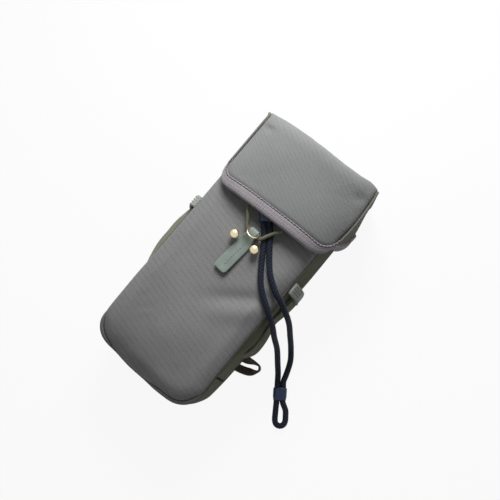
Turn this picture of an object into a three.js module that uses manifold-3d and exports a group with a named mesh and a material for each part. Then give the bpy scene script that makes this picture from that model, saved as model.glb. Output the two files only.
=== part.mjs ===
import * as THREE from 'three';
import Module from 'manifold-3d';
import { mergeVertices } from 'three/addons/utils/BufferGeometryUtils.js';

// A padded pouch with a hooded lid, in millimetres. It lies on its back: X goes across it, Y toward
// the lid, Z out of its front, and Z = 0 is the outer face of the back panel.

const wasm = await Module();
wasm.setup();

// Pouch body.
const pouchWidth = 104;
const pouchLength = 234;
const gussetDepth = 58;
const cornerRadius = 22;
const frontCrown = 6;
const crownRoll = 14;
const crossSeamHeight = 39;
const cornerSteps = 6;

// Cloth, padding and seams.
const cloth = 1.2;
const foam = 4;
const lining = 0.8;
const gap = 0.3;
const pipingHeight = 1.6;
const pipingProud = 0.6;

// Lid. Its shift and skew are how the soft lid sits on the pouch.
const flapLength = 72.5;
const flapCornerRadius = 14;
const lidFoam = 3.5;
const lidRimRise = 9;
const lidShift = 2.2;
const lidSkew = 0.025;
const tapeWidth = 9.2;
const tapeThickness = 3.4;
const tapeCornerRadius = 10;
const wingThickness = 1.4;
const wingTapeWidth = 7;
const wingTapeThickness = 2.2;
const wingRake = 15;
const wingFlare = 3.2;
const lidPipingRadius = 0.8;
const flapSteps = 10;

// Ball studs.
const studDiameter = 7.6;
const studSpacing = 20.7;
const studMiddleX = 1.35;
const studsUnderFlap = 25.9;
const studHeight = 9.7;
const studNeckRadius = 1.75;
const studShankRadius = 1.5;
const studFlangeRadius = 2.4;
const studFlangeHeight = 0.8;
const washerRadius = 5;
const washerThickness = 1.2;

// Elastic loop, pull tab and ring.
const elasticDiameter = 2.8;
const elasticSpread = 34.5;
const anchorSize = [8, 7, 3.4];
const pivotX = 2.4;
const pivotUnderFlap = 16.5;
const tabLean = 5.2;
const tabLength = 39.5;
const tabWidth = 12;
const tabFoldWidth = 8;
const tabLayer = 1.2;
const tabEndRadius = 3.5;
const ringWire = 1.3;
const ringReach = 7.2;
const ringTilt = 42;
const ringBarBack = 2;
const ringBarRise = 1.2;
const barWall = 0.8;

// Lanyard.
const cordDiameter = 4.2;
const strandSpacing = 4.5;
const beadWall = 1;
const upperBeadLength = 9;
const lowerBeadLength = 10.5;
const upperBeadX = 1.6;
const upperBeadTuck = 1.1;
const upperBeadAxis = [0.6, -0.8];
const lowerBeadMiddle = [93.4, -55.6];
const lowerBeadAxis = [0.593, -0.805];
const anchorBlock = [12, 8, 5.4];
const anchorToBead = 14;

// Side webbing.
const strapWidth = 20;
const strapThickness = 1.6;
const strapMiddleZ = 34;
const strapLength = 68;
const strapRise = 68;
const strapFlat = 12;
const leftBulge = { height: 8, rise: 39 };
const rightBulge = { height: 7, rise: 11 };
const sideTabWidth = 10;
const sideTabThickness = 2.6;
const sideTabTop = 57.5;
const sideTabBottom = 18;
const sideTabDrop = 2;
const lowerLoopWidth = 9.4;
const lowerLoopThickness = 2;
const lowerLoopOverSeam = 30.4;

// Colours.
const clothGrey = 0x858582;
const gussetGrey = 0x6c6c62;
const foamBlack = 0x2c2c2c;
const liningGrey = 0x55565a;
const pipingGrey = 0x5b5b57;
const tapeMauve = 0xa59ba0;
const webbingSage = 0x87938e;
const webbingBrown = 0x322f2a;
const elasticOlive = 0x868a72;
const cordNavy = 0x2b3140;
const beadBlue = 0x1b2440;
const brass = 0xc9b98a;
const steel = 0xa8a8a8;

const halfWidth = pouchWidth / 2;
const lidTopY = pouchLength / 2;
const bottomY = -pouchLength / 2;
const panelInset = cloth + gap;
const foamInset = panelInset + foam;
const liningInset = foamInset + gap;
const gussetLow = 2 * gap + pipingHeight;
const gussetTop = gussetLow + gussetDepth;
const bagLow = cloth + foam + 2 * gap;
const sideFoamTop = gussetTop - foam - gap;
const crossSeamY = bottomY + crossSeamHeight;
const frontZ = gussetTop + gap + cloth + frontCrown;

const flapEdgeY = lidTopY - flapLength;
const studY = flapEdgeY - studsUnderFlap;
const pivotY = flapEdgeY - pivotUnderFlap;
const upperBeadMiddle = [upperBeadX, flapEdgeY + upperBeadTuck];
const lidWall = cloth + gap + lidFoam + gap + lining;
const wingInner = halfWidth + pipingProud + gap + lidShift;
const lidHalf = wingInner + wingThickness;
const lidRimZ = gussetTop + lidRimRise;
const cordRadius = cordDiameter / 2;
const beadThickness = cordDiameter + 2 * gap + 2 * beadWall;
const lidCrown = frontZ + beadThickness + 2 * gap + lidWall - lidRimZ;
const lidBackZ = cloth + 2 * gap;
const wingTop = lidRimZ - cloth - 2 * lidPipingRadius - 2 * gap;
const hingeZ = cloth / 2;
const lidHeadroom = 1 + lidSkew * lidHalf;
const mouthY = lidTopY - lidWall - lidHeadroom - cloth - gap;
const channel = elasticDiameter / 2 + 0.4;
const tabFoldRadius = channel + tabLayer;
const barChannel = ringWire / 2 + gap;
const foldReach = Math.hypot(ringBarBack, ringBarRise) + barChannel + barWall;
const tabPivotZ = frontZ + gap + foldReach;

const part = new THREE.Group();

function place(name, geometry, color, roughness = 0.9, metalness = 0) {
  geometry.computeVertexNormals();
  const mesh = new THREE.Mesh(geometry, new THREE.MeshStandardMaterial({ color, roughness, metalness }));
  mesh.name = name;
  part.add(mesh);
}

function solid(vertices, faces) {
  const geometry = new THREE.BufferGeometry();
  const points = vertices.map((point) => new THREE.Vector3(...point));
  let volume = 0;
  for (const [a, b, c] of faces) {
    volume += points[a].dot(points[b].clone().cross(points[c]));
  }
  const index = volume > 0 ? faces : faces.map(([a, b, c]) => [a, c, b]);
  geometry.setFromPoints(points);
  geometry.setIndex(index.flat());
  return geometry;
}

// A closed sheet between two grids of points with the same rows and columns.
function gridSolid(outer, inner) {
  const lastRow = outer.length - 1;
  const lastColumn = outer[0].length - 1;
  const at = (side, row, column) => (side * (lastRow + 1) + row) * (lastColumn + 1) + column;
  const faces = [];
  const quad = (a, b, c, d) => faces.push([a, b, c], [a, c, d]);
  for (let row = 0; row < lastRow; row += 1) {
    for (let column = 0; column < lastColumn; column += 1) {
      quad(at(0, row, column), at(0, row, column + 1), at(0, row + 1, column + 1), at(0, row + 1, column));
      quad(at(1, row, column), at(1, row + 1, column), at(1, row + 1, column + 1), at(1, row, column + 1));
    }
    quad(at(0, row, 0), at(0, row + 1, 0), at(1, row + 1, 0), at(1, row, 0));
    quad(at(0, row + 1, lastColumn), at(0, row, lastColumn), at(1, row, lastColumn), at(1, row + 1, lastColumn));
  }
  for (let column = 0; column < lastColumn; column += 1) {
    quad(at(0, 0, column + 1), at(0, 0, column), at(1, 0, column), at(1, 0, column + 1));
    quad(at(0, lastRow, column), at(0, lastRow, column + 1), at(1, lastRow, column + 1), at(1, lastRow, column));
  }
  return solid([...outer.flat(), ...inner.flat()], faces);
}

// A plan outline raised from one height to another.
function plate(points, low, high) {
  const shape = new THREE.Shape(points.map(([x, y]) => new THREE.Vector2(x, y)));
  const geometry = new THREE.ExtrudeGeometry(shape, { depth: high - low, bevelEnabled: false });
  return geometry.translate(0, 0, low);
}

// A section in X and Z, carried along Y.
function alongY(points, start, end) {
  return plate(points, 0, end - start).rotateX(Math.PI / 2).translate(0, end, 0);
}

function box(low, high) {
  const size = high.map((value, i) => value - low[i]);
  const middle = high.map((value, i) => (value + low[i]) / 2);
  return new THREE.BoxGeometry(...size).translate(...middle);
}

function rod(points, radius, steps, sides = 8) {
  const shape = new THREE.Shape();
  for (let i = 0; i < sides; i += 1) {
    const angle = (2 * Math.PI * i) / sides;
    shape[i ? 'lineTo' : 'moveTo'](radius * Math.cos(angle), radius * Math.sin(angle));
  }
  const path = new THREE.CatmullRomCurve3(points.map((point) => new THREE.Vector3(...point)), false, 'centripetal');
  return new THREE.ExtrudeGeometry(shape, { steps, extrudePath: path, bevelEnabled: false });
}

// A strip of webbing along a line of middle points; across gives its width direction at each.
function ribbon(middles, across, width, thickness) {
  const points = middles.map((point) => new THREE.Vector3(...point));
  const faces = [1, -1].map((face) => points.map((point, i) => {
    const before = points[Math.max(i - 1, 0)];
    const after = points[Math.min(i + 1, points.length - 1)];
    const side = new THREE.Vector3(...across(i / (points.length - 1))).normalize();
    const normal = after.clone().sub(before).cross(side).normalize();
    return [-1, 1].map((edge) => point.clone()
      .addScaledVector(side, (edge * width) / 2)
      .addScaledVector(normal, (face * thickness) / 2)
      .toArray());
  }));
  return gridSolid(...faces);
}

function toManifold(geometry) {
  const bare = geometry.clone();
  bare.deleteAttribute('normal');
  bare.deleteAttribute('uv');
  const merged = mergeVertices(bare.index ? bare : mergeVertices(bare), 1e-4);
  const mesh = new wasm.Mesh({
    numProp: 3,
    vertProperties: Float32Array.from(merged.attributes.position.array),
    triVerts: Uint32Array.from(merged.index.array),
  });
  mesh.merge();
  return new wasm.Manifold(mesh);
}

function fromManifold(manifold) {
  const mesh = manifold.getMesh();
  const geometry = new THREE.BufferGeometry();
  geometry.setAttribute('position', new THREE.BufferAttribute(mesh.vertProperties, 3));
  geometry.setIndex(new THREE.BufferAttribute(mesh.triVerts, 1));
  return geometry;
}

function cylinderX(radius, width, y, z) {
  const geometry = new THREE.CylinderGeometry(radius, radius, width, 20);
  return geometry.rotateZ(Math.PI / 2).translate(0, y, z);
}

// The wall's line in plan at an inset, from the left of the mouth round the bottom to its right.
function wallLine(inset, top = mouthY) {
  const radius = Math.max(cornerRadius - inset, 0.5);
  const x = halfWidth - inset;
  const y = bottomY + inset + radius;
  const points = [[-x, top]];
  for (const side of [-1, 1]) {
    for (let i = 0; i <= cornerSteps; i += 1) {
      const angle = (Math.PI / 2) * (i / cornerSteps + (side < 0 ? 2 : 3));
      points.push([side * (x - radius) + radius * Math.cos(angle), y + radius * Math.sin(angle)]);
    }
  }
  points.push([x, top]);
  return points;
}

function wallBand(outerInset, innerInset, low, high, top) {
  return plate([...wallLine(outerInset, top), ...wallLine(innerInset, top).reverse()], low, high);
}

// How far the padded front rises over its rim.
function crownHeight(inset) {
  const share = Math.min(Math.max(inset - panelInset, 0) / crownRoll, 1);
  return frontCrown * (1 - (1 - share) ** 2);
}

// A piece that fills the wall's line from a bottom up to the crowned front. With a thickness, its
// bottom follows the crown; without, it is flat.
function crownedSolid(inset, rimZ, { thickness, low, top = mouthY }) {
  const roll = panelInset + crownRoll - inset;
  const insets = [0, 0.15, 0.35, 0.65, 1].map((share) => inset + share * roll);
  const rings = insets.map((value) => wallLine(value, top));
  const vertices = [];
  for (const layer of [0, 1]) {
    rings.forEach((ring, i) => {
      const upper = rimZ + crownHeight(insets[i]);
      const z = layer ? low ?? upper - thickness : upper;
      ring.forEach(([x, y]) => vertices.push([x, y, z]));
    });
  }
  const count = rings[0].length;
  const last = rings.length - 1;
  const at = (layer, ring, i) => (layer * rings.length + ring) * count + i;
  const faces = [];
  const quad = (a, b, c, d) => faces.push([a, b, c], [a, c, d]);
  for (let ring = 0; ring < last; ring += 1) {
    for (let i = 0; i < count - 1; i += 1) {
      quad(at(0, ring, i), at(0, ring, i + 1), at(0, ring + 1, i + 1), at(0, ring + 1, i));
      quad(at(1, ring, i), at(1, ring + 1, i), at(1, ring + 1, i + 1), at(1, ring, i + 1));
    }
  }
  const middle = rings[last].map(([x, y]) => new THREE.Vector2(x, y));
  for (const [a, b, c] of THREE.ShapeUtils.triangulateShape(middle, [])) {
    const turn = middle[b].clone().sub(middle[a]).cross(middle[c].clone().sub(middle[a]));
    const [second, third] = turn > 0 ? [b, c] : [c, b];
    faces.push([at(0, last, a), at(0, last, second), at(0, last, third)]);
    faces.push([at(1, last, a), at(1, last, third), at(1, last, second)]);
  }
  const rim = rings[0].map((_, i) => [0, i]);
  for (let ring = 1; ring <= last; ring += 1) rim.push([ring, count - 1]);
  for (let ring = last; ring >= 1; ring -= 1) rim.push([ring, 0]);
  rim.forEach(([ring, i], k) => {
    const [nextRing, next] = rim[(k + 1) % rim.length];
    quad(at(0, ring, i), at(1, ring, i), at(1, nextRing, next), at(0, nextRing, next));
  });
  return solid(vertices, faces);
}

const studPlaces = {
  left: studMiddleX - studSpacing / 2,
  right: studMiddleX + studSpacing / 2,
};

function cutRound(geometry, radius, low, high) {
  let body = toManifold(geometry);
  for (const x of Object.values(studPlaces)) {
    const hole = new THREE.CylinderGeometry(radius, radius, high - low, 20).rotateX(Math.PI / 2);
    body = body.subtract(toManifold(hole.translate(x, studY, (low + high) / 2)));
  }
  return fromManifold(body);
}

// Front and back: cloth outside, padding inside.
const frontCloth = crownedSolid(panelInset, gussetTop + gap + cloth, { thickness: cloth });
const panelUnder = frontZ - cloth;
const washerLow = panelUnder - gap - washerThickness;
const holeRadius = studShankRadius + gap;
place('front_panel', cutRound(frontCloth, holeRadius, panelUnder - 1, frontZ + 1), clothGrey);
const frontPad = crownedSolid(panelInset, gussetTop, { thickness: foam });
place('front_foam', cutRound(frontPad, washerRadius + gap, washerLow - gap, frontZ), foamBlack);
place('back_panel', plate(wallLine(panelInset), 0, cloth), clothGrey);
place('back_foam', plate(wallLine(panelInset), cloth + gap, cloth + gap + foam), foamBlack);

// The side strip and its padding, in three lengths that meet at the cross seams.
for (const [name, side] of [['left', -1], ['right', 1]]) {
  for (const [layer, outer, inner, low, high, color] of [
    ['gusset', 0, cloth, gussetLow, gussetTop, gussetGrey],
    ['foam', panelInset, foamInset, bagLow, sideFoamTop, foamBlack],
  ]) {
    const xs = [side * (halfWidth - outer), side * (halfWidth - inner)].sort((a, b) => a - b);
    place(`${name}_${layer}`, box([xs[0], crossSeamY + gap, low], [xs[1], mouthY, high]), color);
  }
}
place('bottom_gusset', wallBand(0, cloth, gussetLow, gussetTop, crossSeamY), gussetGrey);
place('bottom_foam', wallBand(panelInset, foamInset, bagLow, sideFoamTop, crossSeamY), foamBlack);

// The sewn lining, open at the mouth.
const bagRim = gussetTop - foam - gap;
const bagOuter = crownedSolid(liningInset, bagRim, { low: bagLow });
const bagInner = crownedSolid(liningInset + lining, bagRim - lining, { low: bagLow + lining, top: mouthY + 5 });
place('lining_bag', fromManifold(toManifold(bagOuter).subtract(toManifold(bagInner))), liningGrey);

// Turned seams round the front and the back.
const frontPipingLow = gussetTop + gap;
place('front_piping', wallBand(-pipingProud, cloth, frontPipingLow, frontPipingLow + pipingHeight), pipingGrey);
place('back_piping', wallBand(-pipingProud, cloth, gap, gap + pipingHeight), pipingGrey);

// The tape over the mouth's three padded walls.
const tapeInset = liningInset + lining;
const mouthInsets = [panelInset, 3.5, 6.5, 10.5, panelInset + crownRoll];
const mouthOuter = [[0, gussetLow], [0, gussetTop]];
mouthOuter.push(...mouthInsets.map((inset) => [inset, gussetTop + gap + cloth + crownHeight(inset)]));
const mouthInner = [[tapeInset, gussetLow]];
for (const inset of [tapeInset, ...mouthInsets.slice(-2)]) {
  mouthInner.push([inset, bagRim - lining + crownHeight(inset)]);
}
const mirrored = (line) => [
  ...line.map(([inset, z]) => [inset - halfWidth, z]),
  ...line.map(([inset, z]) => [halfWidth - inset, z]).reverse(),
];
const mouthSection = [...mirrored(mouthOuter), ...mirrored(mouthInner).reverse()];
place('mouth_binding', alongY(mouthSection, mouthY + gap, mouthY + gap + cloth), tapeMauve);
place('hinge_strip', box([panelInset - halfWidth, mouthY + gap, 0], [halfWidth - panelInset, lidTopY - gap, cloth]),
  clothGrey);

// Ball studs through the front panel, each held by a washer.
const ballRadius = studDiameter / 2;
const ballZ = frontZ + studHeight - ballRadius;
const flangeTop = frontZ + gap + studFlangeHeight;
const studProfile = [[0, washerLow], [studShankRadius, washerLow], [studShankRadius, frontZ + gap],
  [studFlangeRadius, frontZ + gap], [studFlangeRadius, flangeTop], [studNeckRadius, flangeTop]];
const neckAngle = Math.asin(studNeckRadius / ballRadius);
for (let i = 0; i <= 8; i += 1) {
  const angle = neckAngle + ((Math.PI - neckAngle) * i) / 8;
  studProfile.push([i < 8 ? ballRadius * Math.sin(angle) : 0, ballZ - ballRadius * Math.cos(angle)]);
}
const washerTop = washerLow + washerThickness;
const washerProfile = [[holeRadius, washerLow], [washerRadius, washerLow], [washerRadius, washerTop],
  [holeRadius, washerTop], [holeRadius, washerLow]];
const turned = (profile, x) => {
  const points = profile.map(([radius, z]) => new THREE.Vector2(radius, z));
  return new THREE.LatheGeometry(points, 16).rotateX(Math.PI / 2).translate(x, studY, 0);
};
for (const [name, x] of Object.entries(studPlaces)) {
  place(`${name}_stud`, turned(studProfile, x), brass, 0.25, 1);
  place(`${name}_washer`, turned(washerProfile, x), steel, 0.4, 1);
}

// Webbing down each side, its upper end under a short tab from the front seam.
const strapBottom = bottomY + strapRise;
const strapTop = strapBottom + strapLength;
for (const [name, side, { height, rise }] of [['left', -1, leftBulge], ['right', 1, rightBulge]]) {
  const flat = gap + strapThickness / 2;
  const bulgeTop = strapTop - strapFlat;
  const middles = [[side * (halfWidth + flat), strapTop, strapMiddleZ]];
  for (let i = 0; i <= 14; i += 1) {
    const y = bulgeTop + ((strapBottom - bulgeTop) * i) / 14;
    const above = y - strapBottom;
    const share = above > rise ? (bulgeTop - y) / (bulgeTop - strapBottom - rise) : above / rise;
    const lift = (height * (1 - Math.cos(Math.PI * share))) / 2;
    middles.push([side * (halfWidth + flat + lift), y, strapMiddleZ]);
  }
  place(`${name}_side_strap`, ribbon(middles, () => [0, 0, 1], strapWidth, strapThickness), webbingSage);
  const over = 2 * gap + strapThickness + sideTabThickness / 2;
  const strapEdge = strapMiddleZ + strapWidth / 2;
  const tabLine = [[gap + sideTabThickness / 2, sideTabTop], [over - 0.6, strapEdge + 5], [over + 0.3, strapEdge + 1],
    [over + 0.3, strapMiddleZ], [over, sideTabBottom]];
  const tabMiddles = tabLine.map(([out, z], i) => [side * (halfWidth + out), strapTop - sideTabDrop - 0.4 * i, z]);
  place(`${name}_tab`, ribbon(tabMiddles, () => [0, 1, 0], sideTabWidth, sideTabThickness), webbingSage);
}

// The narrow loop at the lower right: edge on where it leaves the pouch, then lying flatter.
const loopRoot = halfWidth + 2 * gap;
const loopLine = [[0, 0, 14], [5.5, -0.2, 14], [10.8, -1, 14], [14.6, -3, 14], [16.1, -6.2, 13.6],
  [14.4, -9.4, 13], [9, -12, 12.5], [4, -14, 12.5], [0, -14.4, 12.5]];
const loopMiddles = loopLine.map(([out, down, z]) => [loopRoot + out, crossSeamY + lowerLoopOverSeam + down, z]);
const loopTurn = (share) => Math.PI * 0.38 * Math.min(Math.max((share - 0.3) / 0.4, 0), 1);
const loopAcross = (share) => {
  const angle = loopTurn(share);
  return [0.4 * Math.sin(angle) * Math.sin(Math.PI * share), -0.93 * Math.sin(angle), Math.cos(angle)];
};
const loopCurve = new THREE.CatmullRomCurve3(loopMiddles.map((point) => new THREE.Vector3(...point)));
const loopPoints = loopCurve.getPoints(24).map((point) => point.toArray());
place('lower_loop', ribbon(loopPoints, loopAcross, lowerLoopWidth, lowerLoopThickness), webbingBrown);

// The lid is laid out square on its own middle line, then shifted and skewed as it sits.
function onLid([x, y, z]) {
  const lidFrontZ = lidRimZ + lidCrown;
  const share = Math.min(Math.max((z - hingeZ) / (lidFrontZ - hingeZ), 0), 1);
  return [x + lidShift, y + lidSkew * x * share, z];
}

function placeOnLid(name, geometry, color) {
  const { position } = geometry.attributes;
  for (let i = 0; i < position.count; i += 1) {
    position.setXYZ(i, ...onLid([position.getX(i), position.getY(i), position.getZ(i)]));
  }
  place(name, geometry, color);
}

// The lid's front in section: a point at a depth under its outer face.
function lidSection(x, depth) {
  const share = Math.abs(x) / lidHalf;
  const slope = (-3 * Math.sign(x) * lidCrown * share ** 2) / lidHalf;
  const length = Math.hypot(1, slope);
  return [x + (depth * slope) / length, lidRimZ + lidCrown * (1 - share ** 3) - depth / length];
}

function lidPoint([x, y], depth) {
  const [sectionX, z] = lidSection(x, depth);
  return [sectionX, y, z];
}

// A line along the flap's lower edge, straight with two round corners.
function flapLine(straightY, radius) {
  const straight = lidHalf - radius;
  const corner = Array.from({ length: cornerSteps }, (_, i) => {
    const angle = (Math.PI / 2) * (i / cornerSteps);
    return [straight + radius * Math.cos(angle), straightY + radius * (1 - Math.sin(angle))];
  });
  const middle = Array.from({ length: flapSteps + 1 }, (_, i) => [straight * ((2 * i) / flapSteps - 1), straightY]);
  return [...corner.map(([x, y]) => [-x, y]), ...middle, ...corner.reverse()];
}

const tapeOuter = flapLine(flapEdgeY, flapCornerRadius);
const tapeInner = flapLine(flapEdgeY + tapeWidth, tapeCornerRadius);

function flapLayer(top, bottom, end) {
  const rows = tapeInner.map(([x, y]) => [[x, y + gap], [x, end]]);
  return gridSolid(...[top, bottom].map((depth) => rows.map((row) => row.map((point) => lidPoint(point, depth)))));
}

const lidFoamTop = cloth + gap;
const lidFoamUnder = lidFoamTop + lidFoam;
const lidLiningTop = lidFoamUnder + gap;
const topHalf = wingInner - gap;
const topSlab = (depth, start, end) => {
  const front = Array.from({ length: flapSteps + 1 }, (_, i) => lidSection(topHalf * (1 - (2 * i) / flapSteps), depth));
  return alongY([[-topHalf, lidBackZ], [topHalf, lidBackZ], ...front], start, end);
};
const topFoamEnd = lidTopY - lidFoamTop;
const topLiningEnd = lidTopY - lidLiningTop;
placeOnLid('lid_front_panel', flapLayer(0, cloth, lidTopY), clothGrey);
placeOnLid('lid_front_foam', flapLayer(lidFoamTop, lidFoamUnder, topFoamEnd), foamBlack);
placeOnLid('lid_top_panel', topSlab(lidFoamTop, lidTopY - cloth, lidTopY), clothGrey);
placeOnLid('lid_top_foam', topSlab(lidLiningTop, topFoamEnd - lidFoam, topFoamEnd), foamBlack);
const frontLining = toManifold(flapLayer(lidLiningTop, lidWall, topLiningEnd));
const topLining = toManifold(topSlab(lidLiningTop + lining / 2, topLiningEnd - lining, topLiningEnd));
placeOnLid('lid_lining', fromManifold(frontLining.add(topLining)), liningGrey);

// The tape round the flap's edge.
const tapeRows = tapeOuter.map((point, i) => [point, tapeInner[i]]);
const tapeFaces = [cloth, cloth + tapeThickness].map((depth) => (
  tapeRows.map((row) => row.map((point) => lidPoint(point, depth)))));
placeOnLid('lid_binding_front', gridSolid(...tapeFaces), tapeMauve);

// The lid's sides flare away from the pouch toward their taped lower edge.
const wingEdge = (z) => flapEdgeY + flapCornerRadius + wingRake * (1 - z / wingTop);
function wingGrid(side, out, fromEdge, toEdge) {
  const rows = Array.from({ length: 6 }, (_, i) => lidBackZ + ((wingTop - lidBackZ) * i) / 5);
  return rows.map((z) => {
    const [low, high] = [fromEdge, toEdge].map((value) => (value === null ? lidTopY : wingEdge(z) + value));
    return Array.from({ length: 6 }, (_, i) => {
      const y = low + ((high - low) * i) / 5;
      const fall = (lidTopY - y) / (lidTopY - wingEdge(z));
      const flare = wingFlare * (1 - (z / wingTop) ** 2) * fall ** 2;
      return [side * (wingInner + out + flare), y, z];
    });
  });
}
for (const [name, side] of [['left', -1], ['right', 1]]) {
  const wing = [0, wingThickness].map((out) => wingGrid(side, out, wingTapeWidth + gap, null));
  placeOnLid(`lid_${name}_wing`, gridSolid(...wing), gussetGrey);
  const tape = [0, wingTapeThickness].map((out) => wingGrid(side, out, 0, wingTapeWidth));
  placeOnLid(`lid_binding_${name}`, gridSolid(...tape), tapeMauve);
  const seamStart = flapEdgeY + tapeWidth + tapeCornerRadius + gap;
  const seamZ = wingTop + gap + lidPipingRadius;
  const seam = [[side * lidHalf, seamStart, seamZ], [side * lidHalf, lidTopY, seamZ]];
  placeOnLid(`lid_${name}_piping`, rod(seam, lidPipingRadius, 1), pipingGrey);
}

// The elastic is sewn under the flap's edge at two places.
const anchorEdge = (elasticSpread + anchorSize[0]) / 2;
const elasticZ = lidSection(anchorEdge, cloth + tapeThickness + gap)[1] - anchorSize[2] / 2;
const elasticExits = {};
for (const [name, side] of [['left', -1], ['right', 1]]) {
  const [width, depth, height] = anchorSize;
  const x = (side * elasticSpread) / 2;
  const low = [x - width / 2, flapEdgeY + 2 * gap, elasticZ - height / 2];
  placeOnLid(`elastic_anchor_${name}`, box(low, low.map((value, i) => value + anchorSize[i])), elasticOlive);
  elasticExits[name] = onLid([x, low[1] - gap, elasticZ]);
}

// From one anchor down to the tab's fold, through it, and over the lanyard to the other.
const elasticOver = frontZ + 2 * gap + cordDiameter + elasticDiameter / 2;
const lean = THREE.MathUtils.degToRad(tabLean);
const inFold = (across) => [pivotX + across * Math.cos(lean), pivotY - across * Math.sin(lean), tabPivotZ];
const elasticLine = [
  elasticExits.left,
  [elasticExits.left[0] + 0.4, flapEdgeY - 2.5, elasticZ],
  [pivotX - 11.4, pivotY + 7, elasticZ - 0.6],
  [pivotX - 8.2, pivotY + 2.2, tabPivotZ + 0.5],
  [pivotX - 6.1, pivotY + 0.6, tabPivotZ],
  inFold(-4.4), inFold(-1.5), inFold(1.5), inFold(4.4),
  [pivotX + 6.1, pivotY - 0.6, tabPivotZ],
  [pivotX + 7.5, pivotY - 0.1, tabPivotZ + 1],
  [pivotX + 8.5, pivotY + 1.2, elasticOver - 0.2],
  [pivotX + 9.8, pivotY + 4.2, elasticOver + 0.1],
  [elasticExits.right[0] - 3, flapEdgeY - 5, elasticOver],
  [elasticExits.right[0] - 0.5, flapEdgeY - 2, elasticZ],
  elasticExits.right,
];
place('elastic_loop', rod(elasticLine, elasticDiameter / 2, 60), elasticOlive);

// Pull tab: webbing folded over the elastic and the ring's bar, laid out on its pivot.
const laid = (geometry) => geometry.rotateZ(-lean).translate(pivotX, pivotY, tabPivotZ);
const tail = 2 * tabLayer + 0.2 - foldReach;
const tabSide = [[0.8, tabFoldRadius], [-1.2, tabFoldRadius - 0.15], [-10, tail], [-tabLength, tail],
  [-tabLength, -foldReach], [-6, -foldReach], [0, -tabFoldRadius]];
const across = new THREE.Matrix4().makeBasis(
  new THREE.Vector3(0, 1, 0), new THREE.Vector3(0, 0, 1), new THREE.Vector3(1, 0, 0));
const tabBlank = plate(tabSide, -tabWidth / 2, tabWidth / 2).applyMatrix4(across);
const tabOutline = [[tabFoldWidth / 2, 5], [tabFoldWidth / 2, -3], [tabWidth / 2 - 1, -4.5], [tabWidth / 2, -8]];
for (let i = 0; i <= 4; i += 1) {
  const angle = (Math.PI / 2) * (i / 4);
  tabOutline.push([tabWidth / 2 - tabEndRadius * (1 - Math.cos(angle)),
    tabEndRadius - tabLength - tabEndRadius * Math.sin(angle)]);
}
const tabPlan = plate([...tabOutline, ...tabOutline.map(([x, y]) => [-x, y]).reverse()], -tabWidth, tabWidth);
const tabSolid = toManifold(tabBlank)
  .add(toManifold(cylinderX(tabFoldRadius, tabWidth, 0, 0)))
  .add(toManifold(cylinderX(barChannel + barWall, tabWidth, ringBarBack, ringBarRise)))
  .intersect(toManifold(tabPlan))
  .subtract(toManifold(cylinderX(channel, 2 * tabWidth, 0, 0)))
  .subtract(toManifold(cylinderX(barChannel, 2 * tabWidth, ringBarBack, ringBarRise)));
place('pull_tab', laid(fromManifold(tabSolid)), webbingSage);

// Half ring: a bar in the tab's fold and a bow that lies over the tab.
const wireRadius = ringWire / 2;
const bowRadius = tabFoldWidth / 2 + gap + wireRadius;
const bowLeg = ringReach - bowRadius;
const bow = [];
for (let i = -2; i <= 10; i += 1) {
  const angle = (Math.PI * Math.min(Math.max(i, 0), 8)) / 8;
  const reach = bowLeg * (i < 0 ? (i + 2) / 2 : i > 8 ? (10 - i) / 2 : 1) + bowRadius * Math.sin(angle);
  bow.push([bowRadius * Math.cos(angle), -reach, 0]);
}
const bowTilt = -THREE.MathUtils.degToRad(ringTilt);
const bowRod = rod(bow, wireRadius, 24).rotateX(bowTilt).translate(0, ringBarBack, ringBarRise);
const barRod = cylinderX(wireRadius, 2 * bowRadius + ringWire / 2, ringBarBack, ringBarRise);
place('tab_ring', laid(fromManifold(toManifold(bowRod).add(toManifold(barRod)))), brass, 0.25, 1);

// Each bead is an oblong sleeve on the cord's two strands, with its own direction in plan.
const beadLevel = frontZ + gap + beadThickness / 2;
const cordLevel = frontZ + gap + cordRadius;
const floorLevel = cordRadius + gap;
const sideways = ([x, y]) => [-y, x];
function alongStrand([x, y], axis, distance, strand, z) {
  const side = sideways(axis);
  const off = (strand * strandSpacing) / 2;
  return [x + axis[0] * distance + side[0] * off, y + axis[1] * distance + side[1] * off, z];
}

function oblong(thickness, Kind) {
  const shape = new Kind();
  shape.absarc(strandSpacing / 2, 0, thickness / 2, -Math.PI / 2, Math.PI / 2);
  shape.absarc(-strandSpacing / 2, 0, thickness / 2, Math.PI / 2, 1.5 * Math.PI);
  shape.closePath();
  return shape;
}

function bead(middle, axis, length, z) {
  const shape = oblong(beadThickness, THREE.Shape);
  shape.holes.push(oblong(cordDiameter + 2 * gap, THREE.Path));
  const sleeve = new THREE.ExtrudeGeometry(shape, { depth: length, bevelEnabled: false, curveSegments: 8 });
  const frame = new THREE.Matrix4().makeBasis(
    new THREE.Vector3(...sideways(axis), 0), new THREE.Vector3(0, 0, 1), new THREE.Vector3(...axis, 0));
  return sleeve.translate(0, 0, -length / 2).applyMatrix4(frame).translate(middle[0], middle[1], z);
}

const restBeadLevel = beadThickness / 2;
place('upper_bead', bead(upperBeadMiddle, upperBeadAxis, upperBeadLength, beadLevel), beadBlue, 0.3);
place('lower_bead', bead(lowerBeadMiddle, lowerBeadAxis, lowerBeadLength, restBeadLevel), beadBlue, 0.3);

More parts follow.
